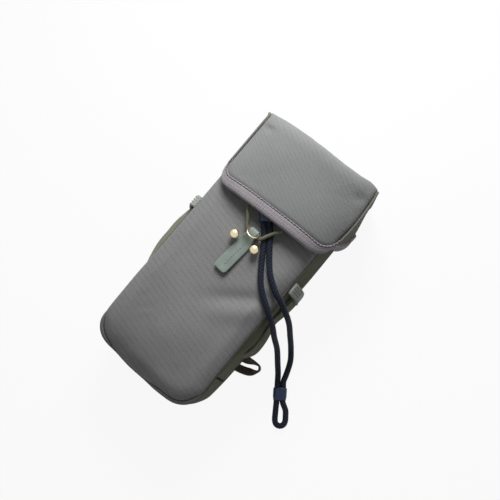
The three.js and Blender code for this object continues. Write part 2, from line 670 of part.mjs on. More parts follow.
// The folded webbing that the cord is sewn into, square to the upper bead.
const [blockWidth, blockDepth, blockHeight] = anchorBlock;
const blockFrame = new THREE.Matrix4().makeBasis(
  new THREE.Vector3(...sideways(upperBeadAxis), 0), new THREE.Vector3(...upperBeadAxis.map((value) => -value), 0),
  new THREE.Vector3(0, 0, 1));
const block = box([-blockWidth / 2, 0, 0], [blockWidth / 2, blockDepth, blockHeight]).applyMatrix4(blockFrame);
const blockFoot = alongStrand(upperBeadMiddle, upperBeadAxis, -anchorToBead, 0, frontZ + gap);
place('lanyard_anchor', block.translate(...blockFoot), webbingSage);

// The lanyard: from its anchor through the upper bead, over the front and the right side to the
// floor, through the lower bead, round its end loop, and back beside itself.
const upperRun = (strand) => [gap - anchorToBead, -8, -4, 0, 4.5].map((distance) => (
  alongStrand(upperBeadMiddle, upperBeadAxis, distance, strand, beadLevel)));
const lowerRun = (strand) => [-10.5, -6, 0, 5.5].map((distance) => (
  alongStrand(lowerBeadMiddle, lowerBeadAxis, distance, strand, restBeadLevel)));
const rollLevel = cordLevel - 0.6;
const firstStrand = [
  [4.9, 38.4, cordLevel + 0.5], [7.9, 34.8, cordLevel], [12.2, 29.5, cordLevel], [16.9, 22.6, cordLevel],
  [22.4, 14.2, cordLevel], [27.2, 7.5, cordLevel], [33.1, 0.6, cordLevel], [40, -5.1, rollLevel],
  [46.8, -9.5, 68.2], [53.2, -13.9, 64.9], [59.1, -18, 57], [64.4, -23.5, 44], [70.6, -29.1, 28],
  [77, -37.6, 13], [81.8, -43.7, 6],
];
const endLoop = [
  [96.6, -64.3, 2.8], [100.4, -70, floorLevel], [104.6, -74.8, floorLevel], [109.3, -76.9, floorLevel],
  [112, -73.6, floorLevel], [109.6, -68, floorLevel], [105.6, -63, floorLevel], [101.4, -59.9, 2.9],
];
const secondStrand = [
  [88, -38.5, 3.2], [83.9, -28.5, 6.5], [78.3, -20.4, 14], [72.7, -13.8, 28], [66.5, -7.4, 44], [60.2, -3.1, 57],
  [53.3, 0.5, 64.9], [46.8, 2.8, 68.2], [40.1, 6.8, rollLevel], [33.2, 11.8, cordLevel], [27.3, 18, cordLevel],
  [21.6, 24.9, cordLevel], [16.6, 31.4, cordLevel], [12.4, 37.2, cordLevel], [8.6, 40.6, cordLevel + 0.5],
];
const lanyard = [
  ...upperRun(-1), ...firstStrand, ...lowerRun(-1), ...endLoop, ...lowerRun(1).reverse(), ...secondStrand,
  ...upperRun(1).reverse(),
];
place('lanyard_cord', rod(lanyard, cordRadius, 80), cordNavy);

export default part;
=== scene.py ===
import math

import bmesh
import bpy
from mathutils import Matrix, Vector, noise


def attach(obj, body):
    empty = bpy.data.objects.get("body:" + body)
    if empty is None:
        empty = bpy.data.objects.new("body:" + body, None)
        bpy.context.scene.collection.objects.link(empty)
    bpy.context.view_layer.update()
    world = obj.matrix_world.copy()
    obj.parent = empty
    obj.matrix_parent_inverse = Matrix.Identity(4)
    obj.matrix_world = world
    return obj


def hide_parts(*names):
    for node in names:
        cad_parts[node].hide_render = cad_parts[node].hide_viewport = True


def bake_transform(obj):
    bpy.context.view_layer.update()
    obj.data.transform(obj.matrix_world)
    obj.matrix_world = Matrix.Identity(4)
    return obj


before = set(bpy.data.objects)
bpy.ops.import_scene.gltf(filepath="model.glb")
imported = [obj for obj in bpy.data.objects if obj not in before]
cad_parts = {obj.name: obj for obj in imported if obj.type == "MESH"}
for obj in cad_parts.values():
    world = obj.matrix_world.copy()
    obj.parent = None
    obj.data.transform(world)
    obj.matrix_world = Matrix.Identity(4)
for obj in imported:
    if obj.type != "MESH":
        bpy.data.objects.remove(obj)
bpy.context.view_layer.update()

# The view
# The pouch lies on its back and is seen from almost straight above, turned to the left. A soft
# lamp stands beyond its lid and to the left, so the lid is lit most and the right side least.

SENSOR, FIELD = 36.0, 25.3


def turned_to(*axes):
    """The turn that takes x, y and z to three axes."""
    return Matrix(axes).transposed()


camera = bpy.data.objects.new("camera", bpy.data.cameras.new("camera"))
bpy.context.scene.collection.objects.link(camera)
bpy.context.scene.camera = camera
eye, aim = Vector((0.1792, -0.059, 0.936)), Vector((0.0077, 0.0169, 0.066))
picture_up = Vector((-0.643, 0.766, 0))
back = (eye - aim).normalized()
right = picture_up.cross(back).normalized()
camera.matrix_world = Matrix.Translation(eye) @ turned_to(right, back.cross(right), back).to_4x4()
camera.data.lens = SENSOR / 2 / math.tan(math.radians(FIELD / 2))
bpy.context.scene.view_settings.view_transform = "Standard"


def colour(code):
    """The linear colour of an sRGB hex code."""
    parts = [int(code[i:i + 2], 16) / 255 for i in (0, 2, 4)]
    return (*(c / 12.92 if c <= 0.04045 else ((c + 0.055) / 1.055) ** 2.4 for c in parts), 1)


def add(tree, kind, links=None, **settings):
    """Adds a node of that kind, with its sockets' values or links by name or number, and its settings.

    A node that is given as a link stands for its first output."""
    made = tree.nodes.new("ShaderNode" + kind)
    for name, value in settings.items():
        setattr(made, name, value)
    for name, value in (links or {}).items():
        if isinstance(value, bpy.types.Node):
            value = value.outputs[0]
        if isinstance(value, bpy.types.NodeSocket):
            tree.links.new(value, made.inputs[name])
        else:
            made.inputs[name].default_value = value
    return made


def looked_at(tree, rays):
    """1 where a ray comes from the camera or a gloss, and 0 where it only brings light."""
    return add(tree, "Math", {0: rays["Is Camera Ray"], 1: rays["Is Glossy Ray"]}, operation="MAXIMUM")


world = bpy.data.worlds.new("white room")
bpy.context.scene.world = world
world.use_nodes = True
sky = world.node_tree
rays = add(sky, "LightPath").outputs
seen = add(sky, "Math", {0: looked_at(sky, rays), 1: rays["Is Transmission Ray"]}, operation="MAXIMUM")
strength = add(sky, "MapRange", {"Value": seen, "To Min": 0.18, "To Max": 1.0})
sky.links.new(strength.outputs[0], sky.nodes["Background"].inputs["Strength"])
sky.nodes["Background"].inputs["Color"].default_value = (1, 1, 1, 1)

lamp = bpy.data.objects.new("softbox", bpy.data.lights.new("softbox", "AREA"))
lamp.data.energy, lamp.data.size = 2.7, 0.25
lamp.location = (-0.17, 0.36, 0.36)
lamp.rotation_mode = "QUATERNION"
lamp.rotation_quaternion = (lamp.location - Vector((0.0, 0.02, 0.05))).to_track_quat("Z", "Y")
lamp.visible_camera = False
bpy.context.scene.collection.objects.link(lamp)

floor_mesh = bmesh.new()
bmesh.ops.create_grid(floor_mesh, x_segments=1, y_segments=1, size=3)
floor = bpy.data.objects.new("floor", bpy.data.meshes.new("floor"))
floor_mesh.to_mesh(floor.data)
floor_mesh.free()
bpy.context.scene.collection.objects.link(floor)
# Painted board: white to the eye, with the soft shadow of what lies on it.
board = bpy.data.materials.new("white painted board")
board.use_nodes = True
tree = board.node_tree
tree.nodes.clear()
rays = add(tree, "LightPath").outputs
grain = add(tree, "TexNoise", {"Scale": 40.0})
paint = add(tree, "MapRange", {"Value": grain, "To Min": 0.80, "To Max": 0.84})
dull = add(tree, "BsdfDiffuse", {"Color": paint})
lit = add(tree, "Emission", {"Strength": 1.0})
share = add(tree, "Math", {0: looked_at(tree, rays), 1: 0.92}, operation="MULTIPLY")
add(tree, "OutputMaterial", {0: add(tree, "MixShader", {0: share, 1: dull, 2: lit})})
floor.data.materials.append(board)

# The lanyard
# One length of braided cord, doubled: sewn in under the lid, through a moulded bead, over the
# front and the right side, through a second bead on the floor, and round its end loop.

STRAND_GAP, CORD = 4.9, 4.9
UPPER_BEAD, UPPER_AXIS, UPPER_Z = Vector((1.6, 45.6)), Vector((0.6, -0.8)), 71.4
LOWER_BEAD, LOWER_AXIS, LOWER_Z = Vector((93.4, -55.6)), Vector((0.593, -0.805)), 3.4


def along_strand(middle, axis, distance, strand, z):
    """A point of one strand, at a distance along a bead's axis from its middle."""
    place = middle + axis * distance + Vector((-axis.y, axis.x)) * strand * STRAND_GAP / 2
    return (place.x, place.y, z)


def evenly(items, gap, blend, steps):
    """Items again, evenly spaced by the gaps between them and blended between."""
    reach = [0]
    for a, b in zip(items, items[1:]):
        reach.append(reach[-1] + gap(a, b))
    made, k = [], 0
    for i in range(steps + 1):
        want = reach[-1] * i / steps
        while k < len(items) - 2 and reach[k + 1] < want:
            k += 1
        made.append(blend(items[k], items[k + 1], (want - reach[k]) / (reach[k + 1] - reach[k])))
    return made


def smooth_line(points, steps):
    """Evenly spaced points along the smooth curve through a route's points, in millimetres."""
    points = [Vector(p) for p in points]
    ends = [2 * points[0] - points[1], *points, 2 * points[-1] - points[-2]]
    fine = []
    for a, b, c, d in zip(ends, ends[1:], ends[2:], ends[3:]):
        t0 = 0
        t1 = (b - a).length ** 0.5
        t2 = t1 + (c - b).length ** 0.5
        t3 = t2 + (d - c).length ** 0.5
        for k in range(16):
            t = t1 + (t2 - t1) * k / 16
            ab = (a * (t1 - t) + b * (t - t0)) / (t1 - t0)
            bc = (b * (t2 - t) + c * (t - t1)) / (t2 - t1)
            cd = (c * (t3 - t) + d * (t - t2)) / (t3 - t2)
            abc = (ab * (t2 - t) + bc * (t - t0)) / (t2 - t0)
            bcd = (bc * (t3 - t) + cd * (t - t1)) / (t3 - t1)
            fine.append((abc * (t2 - t) + bcd * (t - t1)) / (t2 - t1))
    fine.append(points[-1])
    return evenly(fine, lambda a, b: (b - a).length, Vector.lerp, steps)


def length_of(line):
    return sum((b - a).length for a, b in zip(line, line[1:]))


def ahead_at(line, i):
    """The way that a line runs at its point i."""
    return (line[min(i + 1, len(line) - 1)] - line[max(i - 1, 0)]).normalized()


def laid(columns, rows, place, size):
    """A grid laid where place(across, along) says, both from 0 to 1. Its UV map is in millimetres.

    Without a size, the map is the grid's own plan, seen from above."""
    bm = bmesh.new()
    uv = bm.loops.layers.uv.new("UVMap")
    bmesh.ops.create_grid(bm, x_segments=columns, y_segments=rows, size=0.5, calc_uvs=True)
    for vert in bm.verts:
        vert.co = Vector(place(vert.co.x + 0.5, vert.co.y + 0.5)) / 1000
    for face in bm.faces:
        for loop in face.loops:
            across, along = loop[uv].uv
            loop[uv].uv = (across * size[0], along * size[1]) if size else loop.vert.co.xy * 1000
    bmesh.ops.remove_doubles(bm, verts=bm.verts[:], dist=1e-6)
    return bm


def close_ends(bm):
    """Closes the open ends of a laid strip or tube."""
    bmesh.ops.holes_fill(bm, edges=[e for e in bm.edges if e.is_boundary])


def tube(line, radius, around=14):
    """A round tube along a line."""
    steps = len(line) - 1
    sides = []
    side = (line[1] - line[0]).orthogonal().normalized()
    for i, point in enumerate(line):
        ahead = ahead_at(line, i)
        side = (side - ahead * side.dot(ahead)).normalized()
        sides.append((point, side, ahead.cross(side)))

    def place(u, t):
        point, one, other = sides[round(t * steps)]
        angle = 2 * math.pi * u
        return point + (one * math.cos(angle) + other * math.sin(angle)) * radius

    bm = laid(around, steps, place, (2 * math.pi * radius, length_of(line)))
    close_ends(bm)
    return bm


def piece(name, bm, material, body=None, stands_for=(), closed=True):
    """Makes a finished mesh a piece of the pouch that rides on a body."""
    if closed:
        bmesh.ops.recalc_face_normals(bm, faces=bm.faces[:])
    made = bpy.data.objects.new(name, bpy.data.meshes.new(name))
    bm.to_mesh(made.data)
    bm.free()
    made.data.shade_smooth()
    made.data.materials.append(material)
    bpy.context.scene.collection.objects.link(made)
    if body:
        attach(made, body)
    if stands_for:
        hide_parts(*stands_for)
    return made


def wave_scale(millimetres):
    """The Wave Texture's scale for bands that far apart on a map in millimetres."""
    return 2 * math.pi / 20 / millimetres


def new_material(name, rough, **sockets):
    """A material with one shader, whose constant sockets are set on the shader itself."""
    made = bpy.data.materials.new(name)
    made.use_nodes = True
    shader = made.node_tree.nodes["Principled BSDF"]
    shader.inputs["Roughness"].default_value = rough
    for socket, value in sockets.items():
        shader.inputs[socket.replace("_", " ")].default_value = value
    return made, made.node_tree, shader


def two_tones(tree, shader, share, dark, pale, height, relief, depth):
    """Ends a material: two tones by a share, and relief by a height, with its depth in metres."""
    mix = add(tree, "Mix", {0: share, 6: colour(dark), 7: colour(pale)}, data_type="RGBA")
    tree.links.new(mix.outputs[2], shader.inputs["Base Color"])
    bump = add(tree, "Bump", {"Height": height, "Strength": relief, "Distance": depth})
    tree.links.new(bump.outputs[0], shader.inputs["Normal"])


def braid(name, dark, pale, plait, rough, relief, lead=0.0, gloss=0.3):
    """Braided cord: yarns that cross at a slant, one way stronger than the other by lead."""
    made, tree, shader = new_material(name, rough, Sheen_Weight=0.04, Sheen_Roughness=0.5,
                                      Specular_IOR_Level=gloss)
    uv = add(tree, "TexCoord").outputs["UV"]
    slants = []
    for turn in (0.9, -0.9):
        turned = add(tree, "Mapping", {"Vector": uv, "Rotation": (0, 0, turn)})
        slants.append(add(tree, "TexWave", {"Vector": turned, "Scale": wave_scale(plait),
                                            "Distortion": 0.6, "Detail Scale": 0.3}).outputs["Fac"])
    weaker = add(tree, "MapRange", {"Value": slants[1], "To Min": lead})
    cross = add(tree, "Math", {0: slants[0], 1: weaker}, operation="MULTIPLY")
    fuzz = add(tree, "TexNoise", {"Vector": uv, "Scale": 1.4, "Detail": 3.0})
    height = add(tree, "Math", {0: cross, 1: fuzz}, operation="ADD")
    tone = add(tree, "MapRange", {"Value": height, "From Min": 0.3, "From Max": 1.3})
    two_tones(tree, shader, tone, dark, pale, height, relief, 0.0004)
    return made


# Polyester kernmantle cord, braided: a soft dull sheen, navy where it is lit. The plait is 2.2 mm.
cord_braid = braid("braided polyester cord", "06080D", "2A3242", 2.2, 0.6, 1.0, 0.6, 0.12)

first_strand = [
    (4.7, 38.2, 70.3), (7.9, 34.8, 69.9), (12.2, 29.5, 70.1), (16.9, 22.6, 70.1), (22.4, 14.2, 70.1),
    (27.2, 7.5, 70.1), (33.1, 0.6, 70.1), (40, -5.1, 69.5), (46.8, -9.5, 68.2), (53.2, -13.9, 64.9),
    (59.1, -18, 57), (64.4, -23.5, 44), (70.6, -29.1, 28), (77, -37.6, 13), (81.8, -43.7, 6)]
end_loop = [
    (96.6, -64.3, 2.9), (100.4, -70, 2.6), (104.1, -75, 2.6), (106.9, -76.7, 2.6), (110, -75.9, 2.6),
    (111.7, -73.2, 2.6), (111, -70, 2.6), (108.4, -66.3, 2.6), (105.6, -63, 2.6), (102, -60.8, 2.9)]
second_strand = [
    (87.0, -39.2, 3.4), (83.1, -29.1, 6.8), (77.6, -21.0, 14), (72.2, -14.2, 28), (66.5, -7.4, 44),
    (60.2, -3.1, 57), (53.3, 0.5, 64.9), (46.8, 2.8, 68.2), (40.1, 6.8, 69.5), (33.2, 11.8, 70.1),
    (27.3, 18, 70.1), (21.6, 24.9, 70.1), (16.6, 31.4, 70.1), (12.4, 37.2, 69.9), (8.8, 40.9, 70.3)]
upper_run = {side: [along_strand(UPPER_BEAD, UPPER_AXIS, d, side, UPPER_Z) for d in (-13.7, -8, -4, 0, 4.5)]
             for side in (-1, 1)}
lower_run = {side: [along_strand(LOWER_BEAD, LOWER_AXIS, d, side, LOWER_Z) for d in (-10.5, -6, 0, 5.5)]
             for side in (-1, 1)}
route = [*upper_run[-1], *first_strand, *lower_run[-1], *end_loop, *reversed(lower_run[1]), *second_strand,
         *reversed(upper_run[1])]
lanyard_line = smooth_line(route, 340)
lanyard = piece("lanyard", tube(lanyard_line, CORD / 2), cord_braid, "pouch", ["lanyard_cord"])


def bead(name, middle, axis, z, long, taper, body, node):
    """A moulded oblong sleeve over both strands, its rims rounded over."""
    across = Vector((-axis.y, axis.x, 0))
    ahead = Vector((axis.x, axis.y, 0))
    # Its wall from the hole's near end, out over the rim, along the outside and back: distance
    # along the strands and distance out from the strands' own surface.
    wall = [(-0.5, 0.25), (-0.5, 0.5), (-0.46, 0.78), (-0.4, 0.86), (-0.2, 0.88), (0.0, 0.88), (0.2, 0.86),
            (0.4, 0.8 - taper), (0.47, 0.7 - taper), (0.5, 0.4), (0.5, 0.25), (0.3, 0.2), (0, 0.2),
            (-0.3, 0.2)]

    def place(u, t):
        forth, out = wall[round(t * len(wall)) % len(wall)]
        angle = 2 * math.pi * u
        reach = CORD / 2 + out
        sideways = math.copysign(STRAND_GAP / 2, math.cos(angle)) if abs(math.cos(angle)) > 1e-6 else 0
        point = across * (sideways + reach * math.cos(angle)) + Vector((0, 0, reach * math.sin(angle)))
        return Vector((middle.x, middle.y, z)) + ahead * forth * long + point

    bm = laid(32, len(wall), place, (34, 2 * long))
    return piece(name, bm, bead_plastic, body, [node])


# Acetal, injection moulded: a hard dark blue gloss with a faint flow haze.
bead_plastic, tree, shader = new_material("moulded acetal", 0.3, IOR=1.48, Specular_IOR_Level=0.25,
                                          Coat_Weight=0.15, Coat_Roughness=0.12)
where = add(tree, "TexCoord").outputs["Object"]
haze = add(tree, "TexNoise", {"Vector": where, "Scale": 900.0, "Detail": 2.0})
two_tones(tree, shader, haze, "101A30", "2A4270", haze, 0.15, 0.0001)

upper = bead("lanyard_bead_upper", UPPER_BEAD, UPPER_AXIS, UPPER_Z, 9, 0, "pouch", "upper_bead")
lower = bead("lanyard_bead_lower", LOWER_BEAD, LOWER_AXIS, LOWER_Z, 10.5, 0.3, "bead", "lower_bead")

# The back
# The panel that the pouch lies on: ribbed nylon over foam, cut with two round lower corners. It is
# pressed flat, and is one sheet here that is given its thickness inward.

HALF, TOP, BOTTOM, CORNER = 52.0, 107.0, -117.0, 22.0


def rounded_panel(inset):
    """A function from (across, along) to x and y on a panel with the pouch's outline, less an inset."""
    radius = CORNER - inset
    bend = math.pi / 2 * radius
    straight = TOP - (BOTTOM + CORNER)

    def at(u, t):
        reach = t * (bend + straight)
        if reach < bend:
            angle = reach / radius
            half, y = HALF - CORNER + radius * math.sin(angle), BOTTOM + CORNER - radius * math.cos(angle)
        else:
            half, y = HALF - inset, BOTTOM + CORNER + reach - bend
        return (2 * u - 1) * half, y

    return at


def edge_distance(x, y):
    """How far a point of a panel is from the pouch's outline."""
    down = BOTTOM + CORNER - y
    if down <= 0:
        return HALF - abs(x)
    aside = abs(x) - (HALF - CORNER)
    return CORNER - (math.hypot(aside, down) if aside > 0 else down)


def thicken(sheet, thickness):
    """Gives a sheet its wall, inward."""
    wall = sheet.modifiers.new("wall", "SOLIDIFY")
    wall.thickness, wall.offset, wall.use_even_offset = thickness / 1000, -1, False


def weave(name, pale, dark, thread, rib, turn, ribs, rough=0.85, relief=0.5, sheen=0.2, gloss=0.5):
    """Plain weave with a heavier rib every so often, at an angle, as a fine slanting line."""
    made, tree, shader = new_material(name, rough, Sheen_Weight=sheen, Sheen_Roughness=0.45,
                                      Specular_IOR_Level=gloss)
    coords = add(tree, "TexCoord").outputs
    turned = add(tree, "Mapping", {"Vector": coords["UV"], "Rotation": (0, 0, turn)})
    yarns = [add(tree, "TexWave", {"Vector": turned, "Scale": wave_scale(thread), "Distortion": 0.8,
                                   "Detail Scale": 0.4}, bands_direction=way).outputs["Fac"] for way in "XY"]
    cross = add(tree, "Math", {0: yarns[0], 1: yarns[1]}, operation="MULTIPLY")
    lines = add(tree, "TexWave", {"Vector": turned, "Scale": wave_scale(rib), "Distortion": 1.2,
                                  "Detail": 1.0, "Detail Scale": 0.15}, bands_direction="Y").outputs["Fac"]
    sharp = add(tree, "MapRange", {"Value": lines, "From Min": 0.02, "From Max": 0.2})
    fibre = add(tree, "TexNoise", {"Vector": turned, "Scale": 1.25, "Detail": 3.0})
    cloud = add(tree, "TexNoise", {"Vector": coords["Object"], "Scale": 28.0, "Detail": 3.0})
    patchy = add(tree, "TexNoise", {"Vector": turned, "Scale": 0.16, "Detail": 2.0})
    dip = add(tree, "MapRange", {"Value": patchy, "From Min": 0.38, "From Max": 0.62, "To Min": 1 - ribs,
                                 "To Max": 1 - 0.25 * ribs})
    low = add(tree, "MapRange", {"Value": sharp, "To Min": dip, "To Max": 1.0})
    body = add(tree, "MapRange", {"Value": cross, "To Min": 0.62, "To Max": 1.0})
    mottle = add(tree, "MapRange", {"Value": fibre, "From Min": 0.32, "From Max": 0.68, "To Min": 0.52})
    drift = add(tree, "MapRange", {"Value": cloud, "From Min": 0.3, "From Max": 0.7, "To Min": 0.88,
                                   "To Max": 1.06})
    tone = low
    for part in (body, mottle, drift):
        tone = add(tree, "Math", {0: tone, 1: part}, operation="MULTIPLY")
    height = add(tree, "Math", {0: cross, 1: low, 2: fibre}, operation="MULTIPLY_ADD")
    two_tones(tree, shader, tone, dark, pale, height, relief, 0.0003)
    return made


# Nylon, woven with a raised rib: matt, warm grey, with fine slanting lines. Its threads are 0.4 mm
# apart and are drawn 1 mm apart, because finer ones don't show.
body_cloth = weave("ribbed woven nylon", "A8A8A8", "5A5B5B", 1.0, 4.4, math.radians(14), ribs=0.34)

BACK_INSET, BACK_THICK = 1.6, 5.2
back_at = rounded_panel(BACK_INSET)


def ease(value):
    """0 below 0, 1 above 1, and a smooth rise between."""
    value = min(max(value, 0), 1)
    return value * value * (3 - 2 * value)


def hump(value, middle, wide):
    """1 at the middle, falling smoothly to 0 on both sides of it."""
    return math.exp(-((value - middle) / wide) ** 2)


def slump(x, y, z):
    """The soft pouch is thinner at its lower end, and draws in there and on the right by the mouth."""
    low = max(0, 1 - z / 60)
    end = min(max((-55 - y) / 62, 0), 1) ** 2
    mouth = ease((y - 62) / 45) * low
    corners = 2.9 * hump(x, -33, 15) + 0.6 * hump(x, 33, 9)
    left = 0.016 * ease((-25 - y) / 30) if x < 0 else 0
    return (x * (1 + left - (0.1 if x > 0 else 0.06) * end * low - (0.05 if x > 0 else 0.01) * mouth),
            y - 0.3 * end + 5 * end * low + corners * ease((-92 - y) / 16), z * (1 - 0.1 * end))


def back_place(u, t):
    x, y = back_at(1 - u, t)
    return slump(x, y, 1.2 * math.exp(-(edge_distance(x, y) - BACK_INSET) / 1.1))


back_sheet = piece("back_wall", laid(34, 76, back_place, (-101, 232)), body_cloth, "pouch",
                   ["back_panel", "back_foam"], closed=False)
thicken(back_sheet, BACK_THICK)

# The side strip
# One padded strip goes down the left, round the bottom and up the right, joined by a cross seam on
# each side, above the bottom's corners. Each wall is one sheet here, pushed out between its seams
# and then given its thickness.

CROSS_SEAM = -78.0
SIDE_LOW, SIDE_WIDE, SIDE_THICK = 2.3, 58.1, 4.8
CORNERS_BELOW, PUFF_FRAMES = -91, 20
STRAIGHT, BEND, FLAT = TOP - (BOTTOM + CORNER), math.pi / 2 * CORNER, 2 * (HALF - CORNER)
AROUND = 2 * STRAIGHT + 2 * BEND + FLAT


def soft(point, size, height, seed):
    """A slow unevenness of soft cloth."""
    return height * noise.noise(Vector(point) / size + Vector((seed * 7.3, seed * 3.1, seed * 5.7)))


def puff(sheet, pressure, limit):
    """Padding pushes the sheet out between its seams, in a short cloth simulation whose moves are capped."""
    bm = bmesh.new()
    bm.from_mesh(sheet.data)
    sewn = [v.index for v in bm.verts if v.is_boundary]
    bm.free()
    sheet.vertex_groups.new(name="sewn").add(sewn, 1.0, "REPLACE")
    cloth = sheet.modifiers.new("cloth", "CLOTH")
    cloth.settings.vertex_group_mass = "sewn"
    cloth.settings.use_pressure = True
    cloth.settings.uniform_pressure_force = pressure
    cloth.settings.effector_weights.gravity = 0
    for number in range(1, PUFF_FRAMES + 1):
        bpy.context.scene.frame_set(number)
    settled = sheet.evaluated_get(bpy.context.evaluated_depsgraph_get()).data
    moved = [v.co.copy() for v in settled.vertices]
    sheet.modifiers.remove(cloth)
    for vert, co in zip(sheet.data.vertices, moved):
        step = co - vert.co
        vert.co += step * min(1, limit / 1000 / max(step.length, 1e-9))
    sheet.vertex_groups.clear()
    bpy.context.scene.frame_set(1)


def round_over(made):
    rounded = made.modifiers.new("rounded", "SUBSURF")
    rounded.levels = rounded.render_levels = 1


def side_at(t):
    """A point of the pouch's side line, from its left top at 0 to its right top at 1, and the way out."""
    reach = abs(t - 0.5) * AROUND
    side = 1 if t > 0.5 else -1
    if reach < FLAT / 2:
        return Vector((side * reach, BOTTOM)), Vector((0, -1))
    reach -= FLAT / 2
    if reach < BEND:
        angle = reach / CORNER
        out = Vector((side * math.sin(angle), -math.cos(angle)))
        return Vector((side * (HALF - CORNER), BOTTOM + CORNER)) + out * CORNER, out
    return Vector((side * HALF, BOTTOM + CORNER + reach - BEND)), Vector((side, 0))


def corner_share(x, y):
    """1 in the two lower corners, where the welt stands clear of the panel, falling to 0 elsewhere."""
    return ease((CORNERS_BELOW - y) / 13) * ease((x - 4) / 18 if x > 0 else (-20 - x) / 18)


def bottom_share(x, y):
    """1 along the bottom between those corners, where the front rolls down over its seam."""
    return ease((CORNERS_BELOW - y) / 13) - corner_share(x, y)


# The same nylon in olive, duller, with its ribs at a steeper slant. Part of its darkness is painted shade
# of the side walls and the lid's wings, which face away from the lamp.
side_cloth = weave("olive ribbed woven nylon, darkened as painted shade", "74755E", "3C3D2C", 1.0, 4.8, math.radians(80),
                   ribs=0.2, gloss=0.15)
up_to_seam = (TOP - CROSS_SEAM) / AROUND
for side, first, last in (("left", 0, up_to_seam), ("bottom", up_to_seam, 1 - up_to_seam),
                          ("right", 1 - up_to_seam, 1)):
    def side_place(u, t):
        share = first + (last - first) * (1 - t)
        point, out = side_at(share)
        z = SIDE_LOW + (SIDE_WIDE - 3.2 * bottom_share(point.x, point.y)) * u
        edge = min(u, 1 - u) * SIDE_WIDE
        seam = min(abs(share - up_to_seam), abs(share - 1 + up_to_seam)) * AROUND
        depth = -1.3 * math.exp(-edge / 1.3) - 0.8 * math.exp(-seam / 1.0)
        # The right wall swells beside its strap.
        depth += 3.8 * hump(point.y, -34, 18) * hump(z, 50, 7) * (point.x > 0)
        depth += 0.5 * math.sin(math.pi * u) ** 0.6
        depth += soft((point.x, point.y, z), 26, 1.4, 1) * math.sin(math.pi * u)
        where = point + out * depth
        return slump(where.x, where.y, z)

    strip = laid(22, 110, side_place, (58, (last - first) * AROUND))
    side_wall = piece(f"{side}_side_wall", strip, side_cloth, "pouch",
                      [f"{side}_gusset", f"{side}_foam"], closed=False)
    puff(side_wall, 4.0, 0.8)
    thicken(side_wall, SIDE_THICK)
    round_over(side_wall)

# The front
# The crowned front panel, over thick foam. It drops into the groove of its seam all round, and the
# lanyard lies in a shallow valley that it has pressed, with a fuller place below.

VALLEY_FROM, VALLEY_TO = Vector((8, -25)), Vector((44, 1))
FRONT_EDGE, CROWN, FRONT_THICK = 61.7, 6, 5.0
front_at = rounded_panel(0)


def front_crown(inset):
    share = min(max(inset - 1.5, 0) / 14, 1)
    return FRONT_EDGE + CROWN * (1 - (1 - share) ** 2)


def front_place(u, t):
    # More columns lie near the sides, where the panel turns down.
    u = 0.4 * u + 0.3 * (1 - math.cos(math.pi * u))
    x, y = front_at(u, t)
    inset = edge_distance(x, y)
    aside = ease((y + 104) / 16)
    left = aside if x < 0 else 0
    # It is full over the left seam, and drops into a clear groove at the corners and on the right.
    groove = 0.1 + 3.2 * corner_share(x, y) + (0.8 * aside if x > 0 else 0)
    rolled = bottom_share(x, y)
    full = 0.8 * (1 - rolled) + 2.4 * left
    z = front_crown(inset + 1.5) - rolled * 4.8 * math.exp(-inset / 7)
    z += full * math.exp(-inset / 4)
    z -= (full + 1.3) * math.exp(-inset / 0.8)
    inward = Vector((edge_distance(x + 0.1, y) - edge_distance(x - 0.1, y),
                     edge_distance(x, y + 0.1) - edge_distance(x, y - 0.1)))
    free = min(1, inset / 12)
    run = (VALLEY_TO - VALLEY_FROM).normalized()
    off = Vector((x, y)) - VALLEY_FROM
    along, beside = off.dot(run), off.cross(run)
    window = 1 / (1 + math.exp(-(along + 4) / 5)) / (1 + math.exp((along - 54) / 4))
    z += free * window * (1.9 * hump(beside, 18, 8) - 2.0 * hump(beside, 5.5, 6))
    # The valley also lowers the panel's right edge.
    z -= 2.0 * (1 - free) * hump(y, 2, 14) * (x > 0)
    z += free * soft((x, y, 0), 42, 1.6, 2)
    if inward.length > 0:
        x, y = Vector((x, y)) + inward.normalized() * groove * math.exp(-inset / 6)
    return slump(x, y, z)


front_wall = piece("front_wall", laid(60, 110, front_place, None), body_cloth, "pouch",
                   ["front_panel", "front_foam"], closed=False)
puff(front_wall, 3.0, 0.2)
thicken(front_wall, FRONT_THICK)
round_over(front_wall)

# The seams' piping
# The turned edge of the side strip stands up as a soft welt round the front and round the back.

# The same nylon, folded over a cord: its edge catches the light. It is drawn darker than the front's
# nylon, as painted shade of the seam's groove.
welt_cloth = weave("folded nylon welt", "8A8B88", "4C4D48", 1.0, 2.6, 0.4, ribs=0.2)


def welt(name, z, wide, high, sink, node):
    def place(u, t):
        point, out = side_at(t)
        angle = 2 * math.pi * u
        corner = corner_share(point.x, point.y)
        narrow = 0.45 + 0.55 * corner
        reach = wide * narrow * math.cos(angle) - 1.2 - 0.5 * corner + soft((point.x, point.y, z), 30, 0.3, 4)
        where = point + out * reach
        down = sink * (0.4 + 0.6 * bottom_share(point.x, point.y) - 0.4 * corner)
        return slump(where.x, where.y, z - down + high * narrow * math.sin(angle))

    bm = laid(10, 170, place, (9, AROUND))
    close_ends(bm)
    round_over(piece(name, bm, welt_cloth, "pouch", [node]))


welt("front_welt", 61.0, 1.7, 1.35, 3.2, "front_piping")
welt("back_welt", 1.35, 1.5, 1.2, 0, "back_piping")

# The lining
# A sewn bag of soft knit inside the padding, seen when the lid is open.

# Polyester knit, brushed: a dark matt nap with a pale bloom at grazing angles.
lining_knit = weave("brushed polyester knit", "4A4B50", "2C2D31", 1.2, 2.4, 0.0, ribs=0.15, rough=0.95,
                    sheen=0.5)


def filled_out(value, power):
    """A sine or cosine that is filled out, so that its circle comes nearer to a square."""
    return math.copysign(abs(value) ** power, value)


LINING_IN, LINING_Z, LINING_HALF = 6.1, 30.7, 24.5


